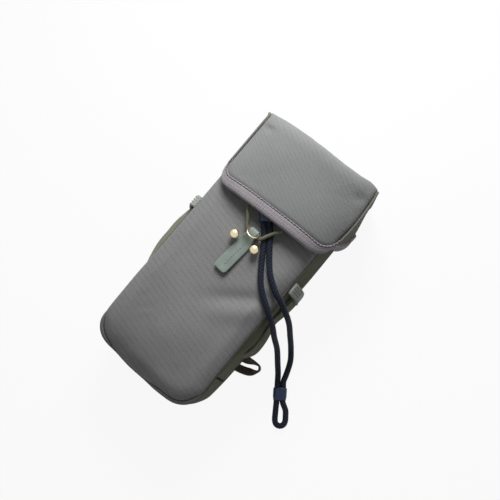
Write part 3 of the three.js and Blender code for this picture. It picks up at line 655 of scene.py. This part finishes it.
def lining_place(u, t):
    radius = CORNER - LINING_IN
    bend, straight = math.pi / 2 * radius, TOP - (BOTTOM + CORNER)
    reach = (1 - t) * (bend + straight)
    angle = min(reach / radius, math.pi / 2)
    half = HALF - CORNER + radius * math.sin(angle)
    y = BOTTOM + CORNER - radius * math.cos(angle) + max(0, reach - bend)
    turn = 2 * math.pi * u
    x = half * filled_out(math.cos(turn), 0.36)
    rise = filled_out(math.sin(turn), 0.36)
    z = LINING_Z + LINING_HALF * rise + (front_crown(edge_distance(x, y)) - 62.4) * max(rise, 0)
    return slump(x, y, z)


lining_mesh = laid(64, 60, lining_place, (300, 220))
lowest = min(v.co.y for v in lining_mesh.verts)
bmesh.ops.holes_fill(lining_mesh, edges=[e for e in lining_mesh.edges
                                         if e.is_boundary and e.verts[0].co.y < lowest + 0.001])
bmesh.ops.recalc_face_normals(lining_mesh, faces=lining_mesh.faces[:])
lining = piece("lining", lining_mesh, lining_knit, "pouch", ["lining_bag"], closed=False)
thicken(lining, 0.8)

# The mouth's binding
# Mauve-grey woven tape folded over the raw edge of the side and front walls.

# Polyester grosgrain: fine ribs straight across the tape, with a silky face. They are 1 mm apart
# and are drawn 2.2 mm apart, because finer ones don't show.
tape_weave = weave("grosgrain tape", "B8B2B7", "5E585D", 1.6, 2.2, 0.0, ribs=0.6, rough=0.7, relief=0.8,
                   sheen=0.3)

mouth_left = [(-48.7, 2.6), (-48.7, 16), (-48.7, 34), (-48.7, 50), (-48.2, 56.5), (-45.4, 61), (-41, 63.2),
              (-34, 64.4), (-17, 64.6)]
mouth_points = [*mouth_left, (0, 64.6), *[(-x, z) for x, z in reversed(mouth_left)]]
MOUTH_STEPS, MOUTH_Y, TAPE_HALF, MOUTH_HALF = 150, 107.1, 3.7, 1.7
mouth_line = smooth_line([(x, 0, z) for x, z in mouth_points], MOUTH_STEPS)


def mouth_place(u, t):
    i = round(t * MOUTH_STEPS)
    ahead = ahead_at(mouth_line, i)
    angle = 2 * math.pi * u
    side = Vector((-ahead.z, 0, ahead.x)) * TAPE_HALF * filled_out(math.cos(angle), 0.6)
    return mouth_line[i] + side + Vector((0, MOUTH_Y + MOUTH_HALF * filled_out(math.sin(angle), 0.6), 0))


mouth = laid(18, MOUTH_STEPS, mouth_place, (19, length_of(mouth_line)))
close_ends(mouth)
piece("mouth_tape", mouth, tape_weave, "pouch", ["mouth_binding"])

# The ball studs
# Two turned brass studs stand through the front, each on a steel washer behind the cloth.

# Brass, turned and plated: a pale gold with a soft polish and very fine turning marks.
plated_brass, tree, shader = new_material("plated brass", 0.24, Metallic=1.0)
where = add(tree, "TexCoord").outputs["Object"]
marks = add(tree, "TexWave", {"Vector": where, "Scale": 500.0, "Distortion": 2.0}, bands_direction="Z")
tarnish = add(tree, "TexNoise", {"Vector": where, "Scale": 150.0, "Detail": 2.0})
dull = add(tree, "MapRange", {"Value": tarnish, "To Min": 0.26, "To Max": 0.4})
tree.links.new(dull.outputs[0], shader.inputs["Roughness"])
two_tones(tree, shader, tarnish, "CBB68C", "EDE3CC", marks.outputs["Fac"], 0.04, 0.00003)

STUD_Y, BALL_Z, BALL, NECK, FLAT_TOP = 18.6, 73.6, 3.9, 1.75, 3.1
# Half the stud's section, from the middle of its foot to the top of its ball: radius and height.
stud_section = [(0, 66.9), (1.5, 66.9), (1.5, 68.0), (2.4, 68.0), (2.5, 68.3), (2.4, 68.8), (1.9, 68.9),
                (NECK, 69.3)]
neck_angle = math.asin(NECK / BALL)
under_ball = [neck_angle + (math.pi / 2 - neck_angle) * k / 6 for k in range(1, 7)]
stud_section += [(BALL * math.sin(a), BALL_Z - BALL * math.cos(a)) for a in under_ball]
# Its top is a little flattened.
over_ball = [math.pi / 2 * k / 10 for k in range(1, 10)]
stud_section += [(BALL * math.cos(a) ** 0.87, BALL_Z + FLAT_TOP * math.sin(a) ** 0.87) for a in over_ball]
stud_section += [(0, BALL_Z + FLAT_TOP)]
for side, x in (("left", -9.0), ("right", 11.7)):
    bm = bmesh.new()
    line = [bm.verts.new(Vector((x + radius, STUD_Y, z)) / 1000) for radius, z in stud_section]
    edges = [bm.edges.new(pair) for pair in zip(line, line[1:])]
    bmesh.ops.spin(bm, geom=line + edges, cent=Vector((x, STUD_Y, 0)) / 1000, axis=(0, 0, 1),
                   angle=2 * math.pi, steps=40, use_merge=True)
    bmesh.ops.remove_doubles(bm, verts=bm.verts[:], dist=1e-7)
    piece(f"{side}_ball_stud", bm, plated_brass, "pouch", [f"{side}_stud"])

# Stainless steel, stamped: plain grey with a fine grain.
washer_steel, tree, shader = new_material("stamped stainless steel", 0.4, Metallic=1.0)
grain = add(tree, "TexNoise", {"Vector": add(tree, "TexCoord").outputs["Object"], "Scale": 700.0})
mix = add(tree, "Mix", {0: grain, 6: colour("9A9A9A"), 7: colour("C4C4C4")}, data_type="RGBA")
tree.links.new(mix.outputs[2], shader.inputs["Base Color"])
for side in ("left", "right"):
    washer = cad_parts[f"{side}_washer"].data
    washer.materials.clear()
    washer.materials.append(washer_steel)

# The side webbing
# A flat strap down each side stands off as a slot for a belt, with its upper end under a short tab
# that is sewn into the front seam and boxed with stitches.


def woven_webbing(name, pale, dark, ribs, gloss):
    return weave(name, pale, dark, 1.1, 2.2, math.radians(45), ribs, rough=0.75, relief=0.9, gloss=gloss)


# Nylon webbing, woven in a fine herringbone: grey-green, with a slight silky face. Its threads are
# 0.5 mm apart and are drawn 1.1 mm apart, because finer ones don't show.
webbing = woven_webbing("woven nylon webbing", "C4CBC3", "7A8179", 0.4, 0.5)
# The same in a dull brown for the narrow loop, drawn dark as painted shade of its low place on the side,
# and in a dull olive, for the side straps.
webbing_in_painted_shade = woven_webbing("brown nylon webbing, darkened as painted shade", "8A8174", "4A443B", 0.3, 0.2)
strap_webbing = woven_webbing("olive nylon webbing", "858770", "4E4F3A", 0.3, 0.2)
# Sewing thread, polyester: pale, with the twist as a fine slant.
pale_thread = braid("pale sewing thread", "8D8B8C", "CFCDCE", 0.5, 0.6, 0.4)
# The mauve thread also draws the lid tape's seam line, as painted shadow of its groove.
dark_thread = braid("mauve sewing thread, also painted seam shadow", "43393F", "766A72", 0.5, 0.6, 0.4)


def band(line, across, width, thick):
    """A strap along a line; across(share) is the direction of its width."""
    steps = len(line) - 1

    def place(u, t):
        i = round(t * steps)
        side = Vector(across(t)).normalized()
        up = ahead_at(line, i).cross(side).normalized()
        angle = 2 * math.pi * u
        return (line[i] + side * width / 2 * filled_out(math.cos(angle), 0.5)
                + up * thick / 2 * filled_out(math.sin(angle), 0.5))

    bm = laid(20, steps, place, (2 * width + 2 * thick, length_of(line)))
    close_ends(bm)
    return bm


def stitches(name, line, outward, body, thread, long, gap, thick):
    """A row of stitches: short rods, half sunk along a line. outward(share) points off the cloth."""
    count = max(1, int(length_of(line) / (long + gap)))
    places = smooth_line(line, count)
    bm = bmesh.new()
    bm.loops.layers.uv.new("UVMap")
    for i in range(count):
        middle = (places[i] + places[i + 1]) / 2
        ahead = (places[i + 1] - places[i]).normalized()
        up = Vector(outward((i + 0.5) / count))
        side = ahead.cross(up).normalized()
        turn = turned_to(ahead, side, ahead.cross(side)).to_4x4()
        size = Matrix.Diagonal((long / 2, thick / 2, thick / 2, 1))
        bmesh.ops.create_uvsphere(bm, u_segments=6, v_segments=5, radius=0.001, calc_uvs=True,
                                  matrix=Matrix.Translation((middle + up * 0.08) / 1000) @ turn @ size)
    piece(name, bm, thread, body)


# How far each strap's middle stands off the side, at places down its length, and how much its front
# edge leans back toward the side there.
strap_forms = {
    "left": (0.07, [(27, 0.4), (24.5, 2.2), (21, 4.2), (14, 5.7), (9.5, 6.2), (3, 6.9), (-4, 7.2),
                    (-11.6, 7.1), (-18, 7.2), (-25, 6.9), (-32.7, 6), (-39, 5.1), (-44, 4.1), (-48, 2.6),
                    (-51, 1), (-53, 0.2)]),
    "right": (0.03, [(20, 1), (14, 3.8), (8, 4), (2, 3.7), (-5, 2.9), (-14.7, 1.7), (-22.8, 3.3),
                     (-29.7, 4.3), (-38, 4.7), (-43, 4.3), (-47, 3), (-50.5, 0.8), (-52, 0)])}
# Each tab's middle, and how far it stands off the side at places down from the front seam.
tab_forms = {
    "left": (20.6, [(-1.4, 62.9), (0.6, 62.6), (2.5, 61.2), (3.9, 57.4), (4.9, 52), (6.3, 46), (7.7, 40),
                    (8.8, 34), (10.2, 27), (11, 21.5)]),
    "right": (15.0, [(0.8, 60.4), (2.6, 59), (5.2, 54), (7, 47), (7.6, 40), (7.2, 34), (6.6, 27),
                     (5.8, 20)])}
STRAP_STEPS, STRAP_OFF, STRAP_Z, STRAP_WIDE, STRAP_THICK = 60, 1.5, 34, 20, 1.6
TAB_STEPS, TAB_WIDE, TAB_THICK = 40, 10.6, 2.2
for side, sign in (("left", -1), ("right", 1)):
    leaning, form = strap_forms[side]
    strap_points = [(sign * (HALF + STRAP_OFF + out), y, STRAP_Z) for y, out in form]
    strap_line = smooth_line(strap_points, STRAP_STEPS)

    def lean(t):
        return -sign * leaning * (abs(strap_line[round(t * STRAP_STEPS)].x) - HALF - STRAP_OFF), 0, 1

    piece(f"{side}_strap", band(strap_line, lean, STRAP_WIDE, STRAP_THICK), strap_webbing, "pouch",
          [f"{side}_side_strap"])
    tab_y, form = tab_forms[side]
    tab_points = [(sign * (HALF + out), tab_y - 0.2 * i * (sign > 0), z) for i, (out, z) in enumerate(form)]
    tab_line = smooth_line(tab_points, TAB_STEPS)
    tab_band = band(tab_line, lambda t: (0, 1, 0), TAB_WIDE, TAB_THICK)
    piece(f"{side}_side_tab", tab_band, webbing, "pouch", [f"{side}_tab"])

    def off_tab(t):
        ahead = ahead_at(tab_line, min(max(round(t * TAB_STEPS), 1), TAB_STEPS - 1))
        return Vector((-sign * ahead.z, 0, sign * ahead.x))

    # One pale row goes down its lower edge. Three short ones hold it at the seam, dark on the right.
    for k, (aside, last) in enumerate(((-4.1, TAB_STEPS - 1), (-1.6, 14), (0.9, 14), (3.4, 14))):
        row = [tab_line[i] + off_tab(i / TAB_STEPS) * (TAB_THICK / 2) + Vector((0, aside, 0))
               for i in range(1, last)]
        off = lambda t, last=last: off_tab((1 + t * (last - 2)) / TAB_STEPS)
        thread = dark_thread if k and sign > 0 else pale_thread
        stitches(f"{side}_tab_stitches_{k}", row, off, "pouch", thread, 1.5, 1.0, 1.0)

# The lower loop
# A narrow loop of webbing, sewn into the lower right side edge on, that flops over flatter. Its dark
# tone is painted shade of that low place under the pouch's curve.

LOOP_WIDE, LOOP_THICK = 9.4, 1.8
loop_points = [(52.0, -51.8, 14), (57.2, -50.9, 14), (62.4, -49.1, 14), (66.7, -48.9, 14),
               (68.8, -51.9, 13.8), (66.4, -55.9, 13.2), (62.0, -58.3, 12.8), (57.0, -60.2, 12.6),
               (52.2, -61.4, 12.5)]


def loop_across(share):
    angle = math.radians(-48 * (1 - ease(share / 0.4)) + 46 * ease((share - 0.4) / 0.35))
    return 0.4 * max(math.sin(angle), 0) * math.sin(math.pi * share), -0.93 * math.sin(angle), math.cos(angle)


loop_band = band(smooth_line(loop_points, 60), loop_across, LOOP_WIDE, LOOP_THICK)
piece("narrow_loop", loop_band, webbing_in_painted_shade, "pouch", ["lower_loop"])

# The lanyard's anchor
# A folded block of webbing under the lid that both strands of the lanyard are sewn into.


def sewn_block(name, corner_low, size, turn, body, material, node):
    """A small folded block of webbing, soft at its edges."""
    bm = bmesh.new()
    bm.loops.layers.uv.new("UVMap")
    bmesh.ops.create_cube(bm, size=1, calc_uvs=True)
    bmesh.ops.bevel(bm, geom=bm.edges[:], offset=0.14, segments=3, affect="EDGES", profile=0.5, material=-1)
    uv = bm.loops.layers.uv.active
    for face in bm.faces:
        for loop in face.loops:
            loop[uv].uv = loop[uv].uv * max(size)
    for vert in bm.verts:
        spot = Vector([(vert.co[i] + 0.5) * size[i] for i in range(3)])
        vert.co = (Vector(corner_low) + turn @ spot) / 1000
    piece(name, bm, material, body, [node])


anchor_turn = turned_to((0.8, 0.6, 0), (-0.6, 0.8, 0), (0, 0, 1))
foot = Vector(along_strand(UPPER_BEAD, UPPER_AXIS, -14, 0, 68.0)) - anchor_turn @ Vector((6, 0, 0))
sewn_block("anchor_fold", foot, (12, 8, 5.4), anchor_turn, "pouch", webbing, "lanyard_anchor")

# The lid's hood
# One padded panel makes the lid's front, rolls over the top fold and goes down to the hinge. The
# lid is cut square and sits a little to the right and askew.

LID_HALF, LID_RIM, LID_CROWN, LID_TOP = 56.5, 69.2, 12.0, 117.0
ROLL_LONG, ROLL_DEEP, LID_LOW, HOOD_THICK = 11.0, 7.5, 1.9, 4.6
WING_IN, WING_TOP, FLAP_Y, FLAP_CORNER = 55.1, 65.8, 44.5, 12
# The hood's edge under the tape, and the shares of its length at which its front and its roll end.
HOOD_EDGE, FRONT_END, ROLL_END = 48.0, 0.5, 0.62


def on_lid(x, y, z):
    """From the lid's own square place to how it sits on the pouch."""
    share = min(max((z - 0.6) / 80.6, 0), 1)
    side = min(abs(x) / LID_HALF, 1) ** 3
    low = max(0, 1 - z / 62)
    if x > 0:
        x -= side * low * (2.7 * ease((y - 66) / 15) + 4.0 * ease((y - 88) / 28))
        x += side * min(z / 60, 1) * (1.6 * hump(y, 86, 14) - 1.5 * ease((y - 103) / 11))
    else:
        x += side * (3.0 * ease((z - 62) / 6) + 1.0 * low
                     + 2.2 * ease((82 - y) / 14) * ease((z - 36) / 22) * (1 - ease((z - 62) / 5)))
    # Its top fold is nearly straight, with the corners a little further out than the middle.
    if x > 0:
        fold = 1.2 - 0.7 * math.sin(math.pi * min(x, 40) / 40) + 1.1 * hump(x, 47, 6)
    else:
        fold = 1.2 - 0.6 * (x / 54) ** 2
    return x + 2.2, y + 0.025 * x * share + fold * ease((y - 96) / 16) * ease(z / 50), z


def lid_front(x):
    return LID_RIM + LID_CROWN * (1 - min(abs(x) / LID_HALF, 1) ** 3)


def flap_edge(x, edge):
    """Where the flap ends at x: a straight edge with two round corners."""
    aside = abs(x) - (LID_HALF - FLAP_CORNER)
    return edge + (FLAP_CORNER - math.sqrt(max(FLAP_CORNER ** 2 - aside ** 2, 0)) if aside > 0 else 0)


def hood_at(u, t, depth=0.0, edge=HOOD_EDGE, half=56.2):
    """A point of the hood at a depth under its face: its front, then the roll, then the top wall."""
    x = (2 * u - 1) * half
    long, deep = ROLL_LONG - depth, ROLL_DEEP - depth
    top = lid_front(x) - depth * 1.1
    if t < FRONT_END:
        start = flap_edge(x, edge)
        return x, start + (LID_TOP - ROLL_LONG - start) * t / FRONT_END, top
    if t < ROLL_END:
        angle = (t - FRONT_END) / (ROLL_END - FRONT_END) * math.pi / 2
        return x, LID_TOP - ROLL_LONG + long * math.sin(angle), top - deep * (1 - math.cos(angle))
    down = (t - ROLL_END) / (1 - ROLL_END)
    return x * (1 - 0.012 * down), LID_TOP - depth, (top - deep) * (1 - down) + LID_LOW * down


def hood_place(u, t):
    x, y, z = hood_at(u, t)
    aside = LID_HALF - abs(x)
    tuck = 1.2 * math.exp(-aside / 1.0)
    free = min(1, aside / 12)
    if t < FRONT_END:
        edge = y - flap_edge(x, HOOD_EDGE)
        z -= 2.2 * (1 - ease((edge - 3.2) / 4.5)) + tuck
        # Small puckers where the roll meets the side seams.
        z -= 1.3 * hump(x, -47, 5) * hump(y, 103, 3.5)
        z -= 1.1 * hump(x, 48, 5) * hump(y, 101, 4)
        z += free * soft((x, y, 0), 38, 1.6, 5)
    elif t < ROLL_END:
        y -= tuck * 0.7
        z -= tuck * 0.7
        z += free * soft((x, y, 0), 38, 1.6, 5) * (ROLL_END - t) / (ROLL_END - FRONT_END)
    else:
        down = (t - ROLL_END) / (1 - ROLL_END)
        y += free * 0.8 * math.sin(math.pi * down) - tuck
        y += free * math.sin(math.pi * down) * soft((x, 0, z), 26, 1.5, 6)
    return on_lid(x, y, z)


# The same ribbed nylon, with its ribs closer and at another slant. It is drawn darker than on the front,
# as painted shade that evens out the lamp's stronger light on the lid.
lid_cloth = weave("ribbed woven nylon on the lid, darkened as painted shade", "A0A1A1", "585959", 1.0, 3.6, math.radians(32), ribs=0.3)
hood = piece("lid_hood", laid(46, 84, hood_place, (113, 145)), lid_cloth, "lid",
             ["lid_front_panel", "lid_front_foam", "lid_top_panel", "lid_top_foam"], closed=False)
puff(hood, 3.0, 0.8)
thicken(hood, HOOD_THICK)
round_over(hood)

# The lid's sides
# A single layer of the side cloth on each side, sewn to the hood. Its front edge is cut back toward
# the hinge lower down, and stands off the pouch at half its height.


def wing_edge(z):
    return FLAP_Y + 13 + 24.5 * ease(1.06 * (1 - z / WING_TOP))


def wing_flare(z, fall):
    return 3.4 * math.sin(math.pi * min(z / WING_TOP, 1)) * fall ** 3


SEAM_Z, WING_THICK, WELT_RADIUS = 67.9, 1.3, 1.0
# The seam's welt, from the flap's corner over the roll and down to the hinge, on the right.
welt_points = [(56.9, 62, 67.6), (56.9, 80, 67.7), (56.9, 98, 67.7), (56.9, 107, 67.4), (56.6, 112.4, 65.9),
               (56.3, 115.2, 62.8), (56.1, 115.8, 58), (56.0, 115.2, 48), (56.0, 115.2, 30),
               (55.9, 115.2, 14), (55.7, 115.2, 3)]
for side, sign in (("left", -1), ("right", 1)):
    def wing_place(u, t):
        z = LID_LOW + (SEAM_Z - LID_LOW) * t
        last = LID_TOP - 7 + math.sqrt(max(5.8 ** 2 - max(z - 62.2, 0) ** 2, 0))
        first = wing_edge(min(z, WING_TOP)) + 3
        share = u if sign > 0 else 1 - u
        y = first + (last - first) * share
        fall = (LID_TOP - y) / (LID_TOP - wing_edge(min(z, WING_TOP)))
        x = WING_IN + 1.3 + wing_flare(z, fall) + soft((y, z, sign), 24, 0.9, 7) * math.sin(math.pi * t)
        return on_lid(sign * x, y, z)

    wing = piece(f"{side}_wing", laid(24, 30, wing_place, (50, 66)), side_cloth, "lid",
                 [f"lid_{side}_wing"], closed=False)
    thicken(wing, WING_THICK)
    welt_line = smooth_line([on_lid(sign * x, y, z) for x, y, z in welt_points], 90)
    piece(f"{side}_lid_welt", tube(welt_line, WELT_RADIUS, 12), welt_cloth, "lid",
          [f"lid_{side}_piping"])

# The lid's lining
# The same brushed knit, smooth under the padding.


def under_place(u, t):
    return on_lid(*hood_at(u, t, depth=5.2, edge=50.0, half=54.4))


under = piece("lid_under", laid(30, 60, under_place, (109, 140)), lining_knit, "lid",
              ["lid_lining"], closed=False)
thicken(under, 0.8)

# The lid's binding
# One length of the mauve-grey tape goes up the left side's edge, round the flap and down the right
# side, folded over the raw edge and sewn through along its inner side.

# Each station: the edge's point, the way in from the edge, the way out of the cloth, the tape's
# width, and how far it lies under and over the cloth's face.
tape_stations = []
TAPE_STEPS, TAPE_HIGH, UNDER_FACE = 190, 64.6, 0.6
# The flap's corner: the x where the tape's outer and inner lines start to turn, and their rounds.
OUTER_X, INNER_X, OUTER_ROUND, INNER_ROUND = 42.5, 46.5, 14, 10


def lid_normal(x):
    slope = -3 * math.copysign(1, x) * LID_CROWN * (abs(x) / LID_HALF) ** 2 / LID_HALF
    return Vector((-slope, 0, 1)).normalized()


# Up the left side.
for i in range(31):
    z = LID_LOW + (TAPE_HIGH - LID_LOW) * i / 30
    tape_stations.append((Vector((-(WING_IN + 1.3 + wing_flare(z, 1)), wing_edge(z), z)), Vector((0, 1, 0)),
                          Vector((-1, 0, 0)), 7.0, 1.5, 0.35))
# Round the flap's left corner.
for i in range(15):
    angle = math.pi / 2 * i / 14
    outer = Vector((-(OUTER_X + OUTER_ROUND * math.cos(angle)),
                    FLAP_Y + OUTER_ROUND - OUTER_ROUND * math.sin(angle)))
    inner = Vector((-(INNER_X + INNER_ROUND * math.cos(angle)), 64.2 - 10.5 * math.sin(angle)))
    inward = (inner - outer).normalized()
    edge = Vector((outer.x, outer.y, lid_front(outer.x) - UNDER_FACE))
    tape_stations.append((edge, Vector((inward.x, inward.y, 0)), lid_normal(outer.x), 9.8 - 0.4 * i / 14,
                          3.2 + i / 14, 1.3))
# Along the flap's edge to its middle. The right half is the mirror of the left.
for i in range(1, 21):
    x = -OUTER_X + OUTER_X * i / 20
    inward = Vector((x * INNER_X / OUTER_X - x, 9.2, 0)).normalized()
    edge = Vector((x, FLAP_Y, lid_front(x) - UNDER_FACE))
    tape_stations.append((edge, inward, lid_normal(x), 9.4, 4.2, 1.3))
mirror = lambda v: Vector((-v.x, v.y, v.z))
tape_stations += [(mirror(e), mirror(a), mirror(n), *rest) for e, a, n, *rest in reversed(tape_stations[:-1])]


def between(a, b, share):
    """A station that is blended between two others."""
    made = [p.lerp(q, share) if isinstance(p, Vector) else p + (q - p) * share for p, q in zip(a, b)]
    made[1].normalize()
    made[2].normalize()
    return made


even_tape = evenly(tape_stations, lambda a, b: (b[0] - a[0]).length + 0.2, between, TAPE_STEPS)
for _ in range(3):
    for k in (0, 1, 2):
        values = [s[k] for s in even_tape]
        for i in range(1, TAPE_STEPS):
            even_tape[i][k] = (values[i - 1] + 2 * values[i] + values[i + 1]) / 4


def tape_point(station, a, n):
    """A point of the tape: a share of its width in from the edge, and millimetres out."""
    edge, inward, out, width = station[:4]
    return Vector(on_lid(*(edge + inward * a * width + out * n)))


def tape_place(u, t):
    station = even_tape[round(t * TAPE_STEPS)]
    under, over = station[4], station[5]
    angle = 2 * math.pi * u
    middle, half = (over - under) / 2, (over + under) / 2
    a = 0.5 - 0.53 * filled_out(math.cos(angle), 0.62)
    n = middle + half * filled_out(math.sin(angle), 0.62)
    return tape_point(station, a, n)


tape_mesh = laid(24, TAPE_STEPS, tape_place, (25, 300))
close_ends(tape_mesh)
piece("lid_tape", tape_mesh, tape_weave, "lid",
      ["lid_binding_front", "lid_binding_left", "lid_binding_right"])
# Along the seam, a thin dark thread is painted shadow of the groove where the tape is pressed in,
# with pale stitches along it.
SEAM_IN = 0.9
seam_shadow_row = [tape_point(s, SEAM_IN, s[5] - 0.35) for s in even_tape]
piece("lid_tape_seam_shadow", tube(seam_shadow_row, 0.5, 8), dark_thread, "lid")
stitch_row = [tape_point(s, SEAM_IN, s[5] + 0.1) for s in even_tape]
stitches("lid_tape_stitches", stitch_row, lambda t: even_tape[round(t * TAPE_STEPS)][2], "lid", pale_thread,
         1.4, 1.6, 0.8)

# The hinge
# The back panel's cloth runs on past the mouth and up into the lid's top wall, and folds there.

HINGE_STEPS = 40
hinge_line = smooth_line([(0, 101, 1.0), (0, 107, 0.8), (0, 112.5, 0.8), (0, 115.6, 1.3), (0, 117.0, 3.2),
                          (0, 117.2, 6.5), (0, 116.9, 10)], HINGE_STEPS)


def hinge_place(u, t):
    point = hinge_line[round(t * HINGE_STEPS)]
    return (1 - 2 * u) * 50.5, point.y, point.z


hinge = piece("hinge_cloth", laid(20, HINGE_STEPS, hinge_place, (101, 22)), body_cloth, None,
              ["hinge_strip"], closed=False)
thicken(hinge, 1.0)
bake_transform(hinge)

# The elastic
# A loop of round elastic, sewn in under the flap's edge at two bar-tacked blocks. It hangs down
# through the tab's fold and over the lanyard.

# Braided elastic: olive, a tight plait 1 mm wide with a faint rubbery sheen.
elastic_braid = braid("braided elastic", "4F523A", "878A6F", 1.0, 0.55, 0.6)
LEAN = math.radians(5.2)
PIVOT = Vector((2.4, 28.0, 72.08))
ELASTIC, TACK_Z, TACK_HIGH = 2.8, 73.98, 3.4


def in_fold(across):
    return PIVOT.x + across * math.cos(LEAN), PIVOT.y - across * math.sin(LEAN), PIVOT.z


elastic_points = [
    (-15.05, 44.41, TACK_Z), (-14.65, 42, TACK_Z), (-9, 35, 73.38), (-5.8, 30.2, 72.58), (-3.7, 28.6, 72.08),
    in_fold(-4.4), in_fold(-1.5), in_fold(1.5), in_fold(4.4), (8.5, 27.4, 72.08), (9.9, 27.9, 73.3),
    (10.9, 29.2, 74.1), (12.2, 32.2, 74.2), (16.45, 39.5, 74.1), (18.95, 42.5, TACK_Z),
    (19.45, 45.19, TACK_Z)]
elastic_line = smooth_line(elastic_points, 90)
elastic = piece("elastic", tube(elastic_line, ELASTIC / 2), elastic_braid, "loop",
                ["elastic_loop"])
for side, x in (("left", -17.25), ("right", 17.25)):
    low = Vector(on_lid(x - 4, 45.1, TACK_Z - TACK_HIGH / 2))
    sewn_block(f"{side}_tack", low, (8, 7, TACK_HIGH), Matrix.Identity(3), "lid", elastic_braid,
               f"elastic_anchor_{side}")

# The pull tab
# A strip of coated webbing folded over the elastic and the ring's bar, its two layers welded
# together below and sewn with one plain row down the middle.

# Nylon webbing with a rubbery coating: smooth, matt sage, with a faint grain.
tab_coat, tree, shader = new_material("rubber coated webbing", 0.6, Sheen_Weight=0.1)
where = add(tree, "TexCoord").outputs["Object"]
grain = add(tree, "TexNoise", {"Vector": where, "Scale": 1500.0, "Detail": 3.0})
cloud = add(tree, "TexNoise", {"Vector": where, "Scale": 90.0, "Detail": 2.0})
blend = add(tree, "Math", {0: grain, 1: cloud}, operation="MULTIPLY")
tone = add(tree, "MapRange", {"Value": blend, "From Min": 0.12, "From Max": 0.4})
two_tones(tree, shader, tone, "78857E", "98A49E", grain, 0.25, 0.0002)


def on_tab(x, y, z):
    """From the tab's own place, with its pivot at the middle, to the pouch."""
    return (PIVOT.x + x * math.cos(LEAN) + y * math.sin(LEAN),
            PIVOT.y - x * math.sin(LEAN) + y * math.cos(LEAN), PIVOT.z + z)


# The strip's middle line from the end of its lower layer, round the fold, to the end of its upper.
fold = [(-39.5, -3.42), (-30, -3.42), (-20, -3.42), (-10, -3.42), (-4, -3.1), (-1, -2.4), (1.2, -1.6),
        (3.0, -0.3), (3.5, 1.3), (2.6, 2.6), (1, 2.75), (-1.2, 2.4), (-4, 1.0), (-7, -0.9), (-10, -1.9),
        (-20, -2.12), (-30, -2.12), (-39.5, -2.12)]
FOLD_STEPS, LAYER, NARROW_HALF, WIDE_HALF = 150, 1.2, 3.6, 6.0
TAB_ROUND, ROUND_FROM = 3.5, -36
fold_line = smooth_line([(0, y, z) for y, z in fold], FOLD_STEPS)


def tab_half(y):
    """Half the tab's width: narrow at its fold, with rounded corners at its end."""
    half = NARROW_HALF + (WIDE_HALF - NARROW_HALF) * min(max((-2.0 - y) / 7.0, 0), 1)
    if y < ROUND_FROM:
        half -= TAB_ROUND - math.sqrt(max(TAB_ROUND ** 2 - (ROUND_FROM - y) ** 2, 0))
    return half


def tab_place(u, t):
    # Out along the strip's outer face and back along its inner one.
    i = round((1 - abs(2 * u - 1)) * FOLD_STEPS)
    ahead = ahead_at(fold_line, i)
    face = LAYER / 2 if u <= 0.5 else -LAYER / 2
    if i in (0, FOLD_STEPS):
        face = 0
    point = fold_line[i] + Vector((0, -ahead.z, ahead.y)) * -face
    return on_tab((2 * t - 1) * tab_half(point.y), point.y, point.z)


tab_mesh = laid(2 * FOLD_STEPS, 12, tab_place, (170, 12))
close_ends(tab_mesh)
piece("tab", tab_mesh, tab_coat, "tab", ["pull_tab"])
seam = [Vector(on_tab(0.4, y, -1.42)) for y in (-9, -13, -18, -23, -28, -33)]
stitches("tab_stitches", seam, lambda t: (0, 0, 1), "tab", pale_thread, 1.7, 0.7, 0.7)

# The ring
# A half ring of brass wire, its bar in the tab's fold and its bow lying over the tab.

FOLD_HALF, PLAY, WIRE, BAR_WIRE = 4, 0.3, 0.65, 0.62
BOW_DEEP, BAR_Y, BAR_Z = 7.2, 2.0, 1.2
bow_radius = FOLD_HALF + PLAY + WIRE
tilt = math.radians(-42)
ring_points = [(bow_radius, 0), (bow_radius, -1.2)]
for k in range(17):
    angle = math.pi * k / 16
    down = -(BOW_DEEP - bow_radius) - math.sin(angle) * bow_radius
    ring_points.append((math.cos(angle) * bow_radius, down))
ring_points += [(-bow_radius, -1.2), (-bow_radius, 0)]
bow = [Vector(on_tab(x, BAR_Y + y * math.cos(tilt), BAR_Z + y * math.sin(tilt))) for x, y in ring_points]
bar = [Vector(on_tab(-bow_radius + 2 * bow_radius * k / 6, BAR_Y, BAR_Z)) for k in range(1, 6)]
ring_mesh = tube(smooth_line(bow, 70), WIRE, 12)
bar_mesh = tube([bow[-1], *bar, bow[0]], BAR_WIRE, 12)
bar_data = bpy.data.meshes.new("bar")
bar_mesh.to_mesh(bar_data)
ring_mesh.from_mesh(bar_data)
bar_mesh.free()
piece("half_ring", ring_mesh, plated_brass, "ring", ["tab_ring"])
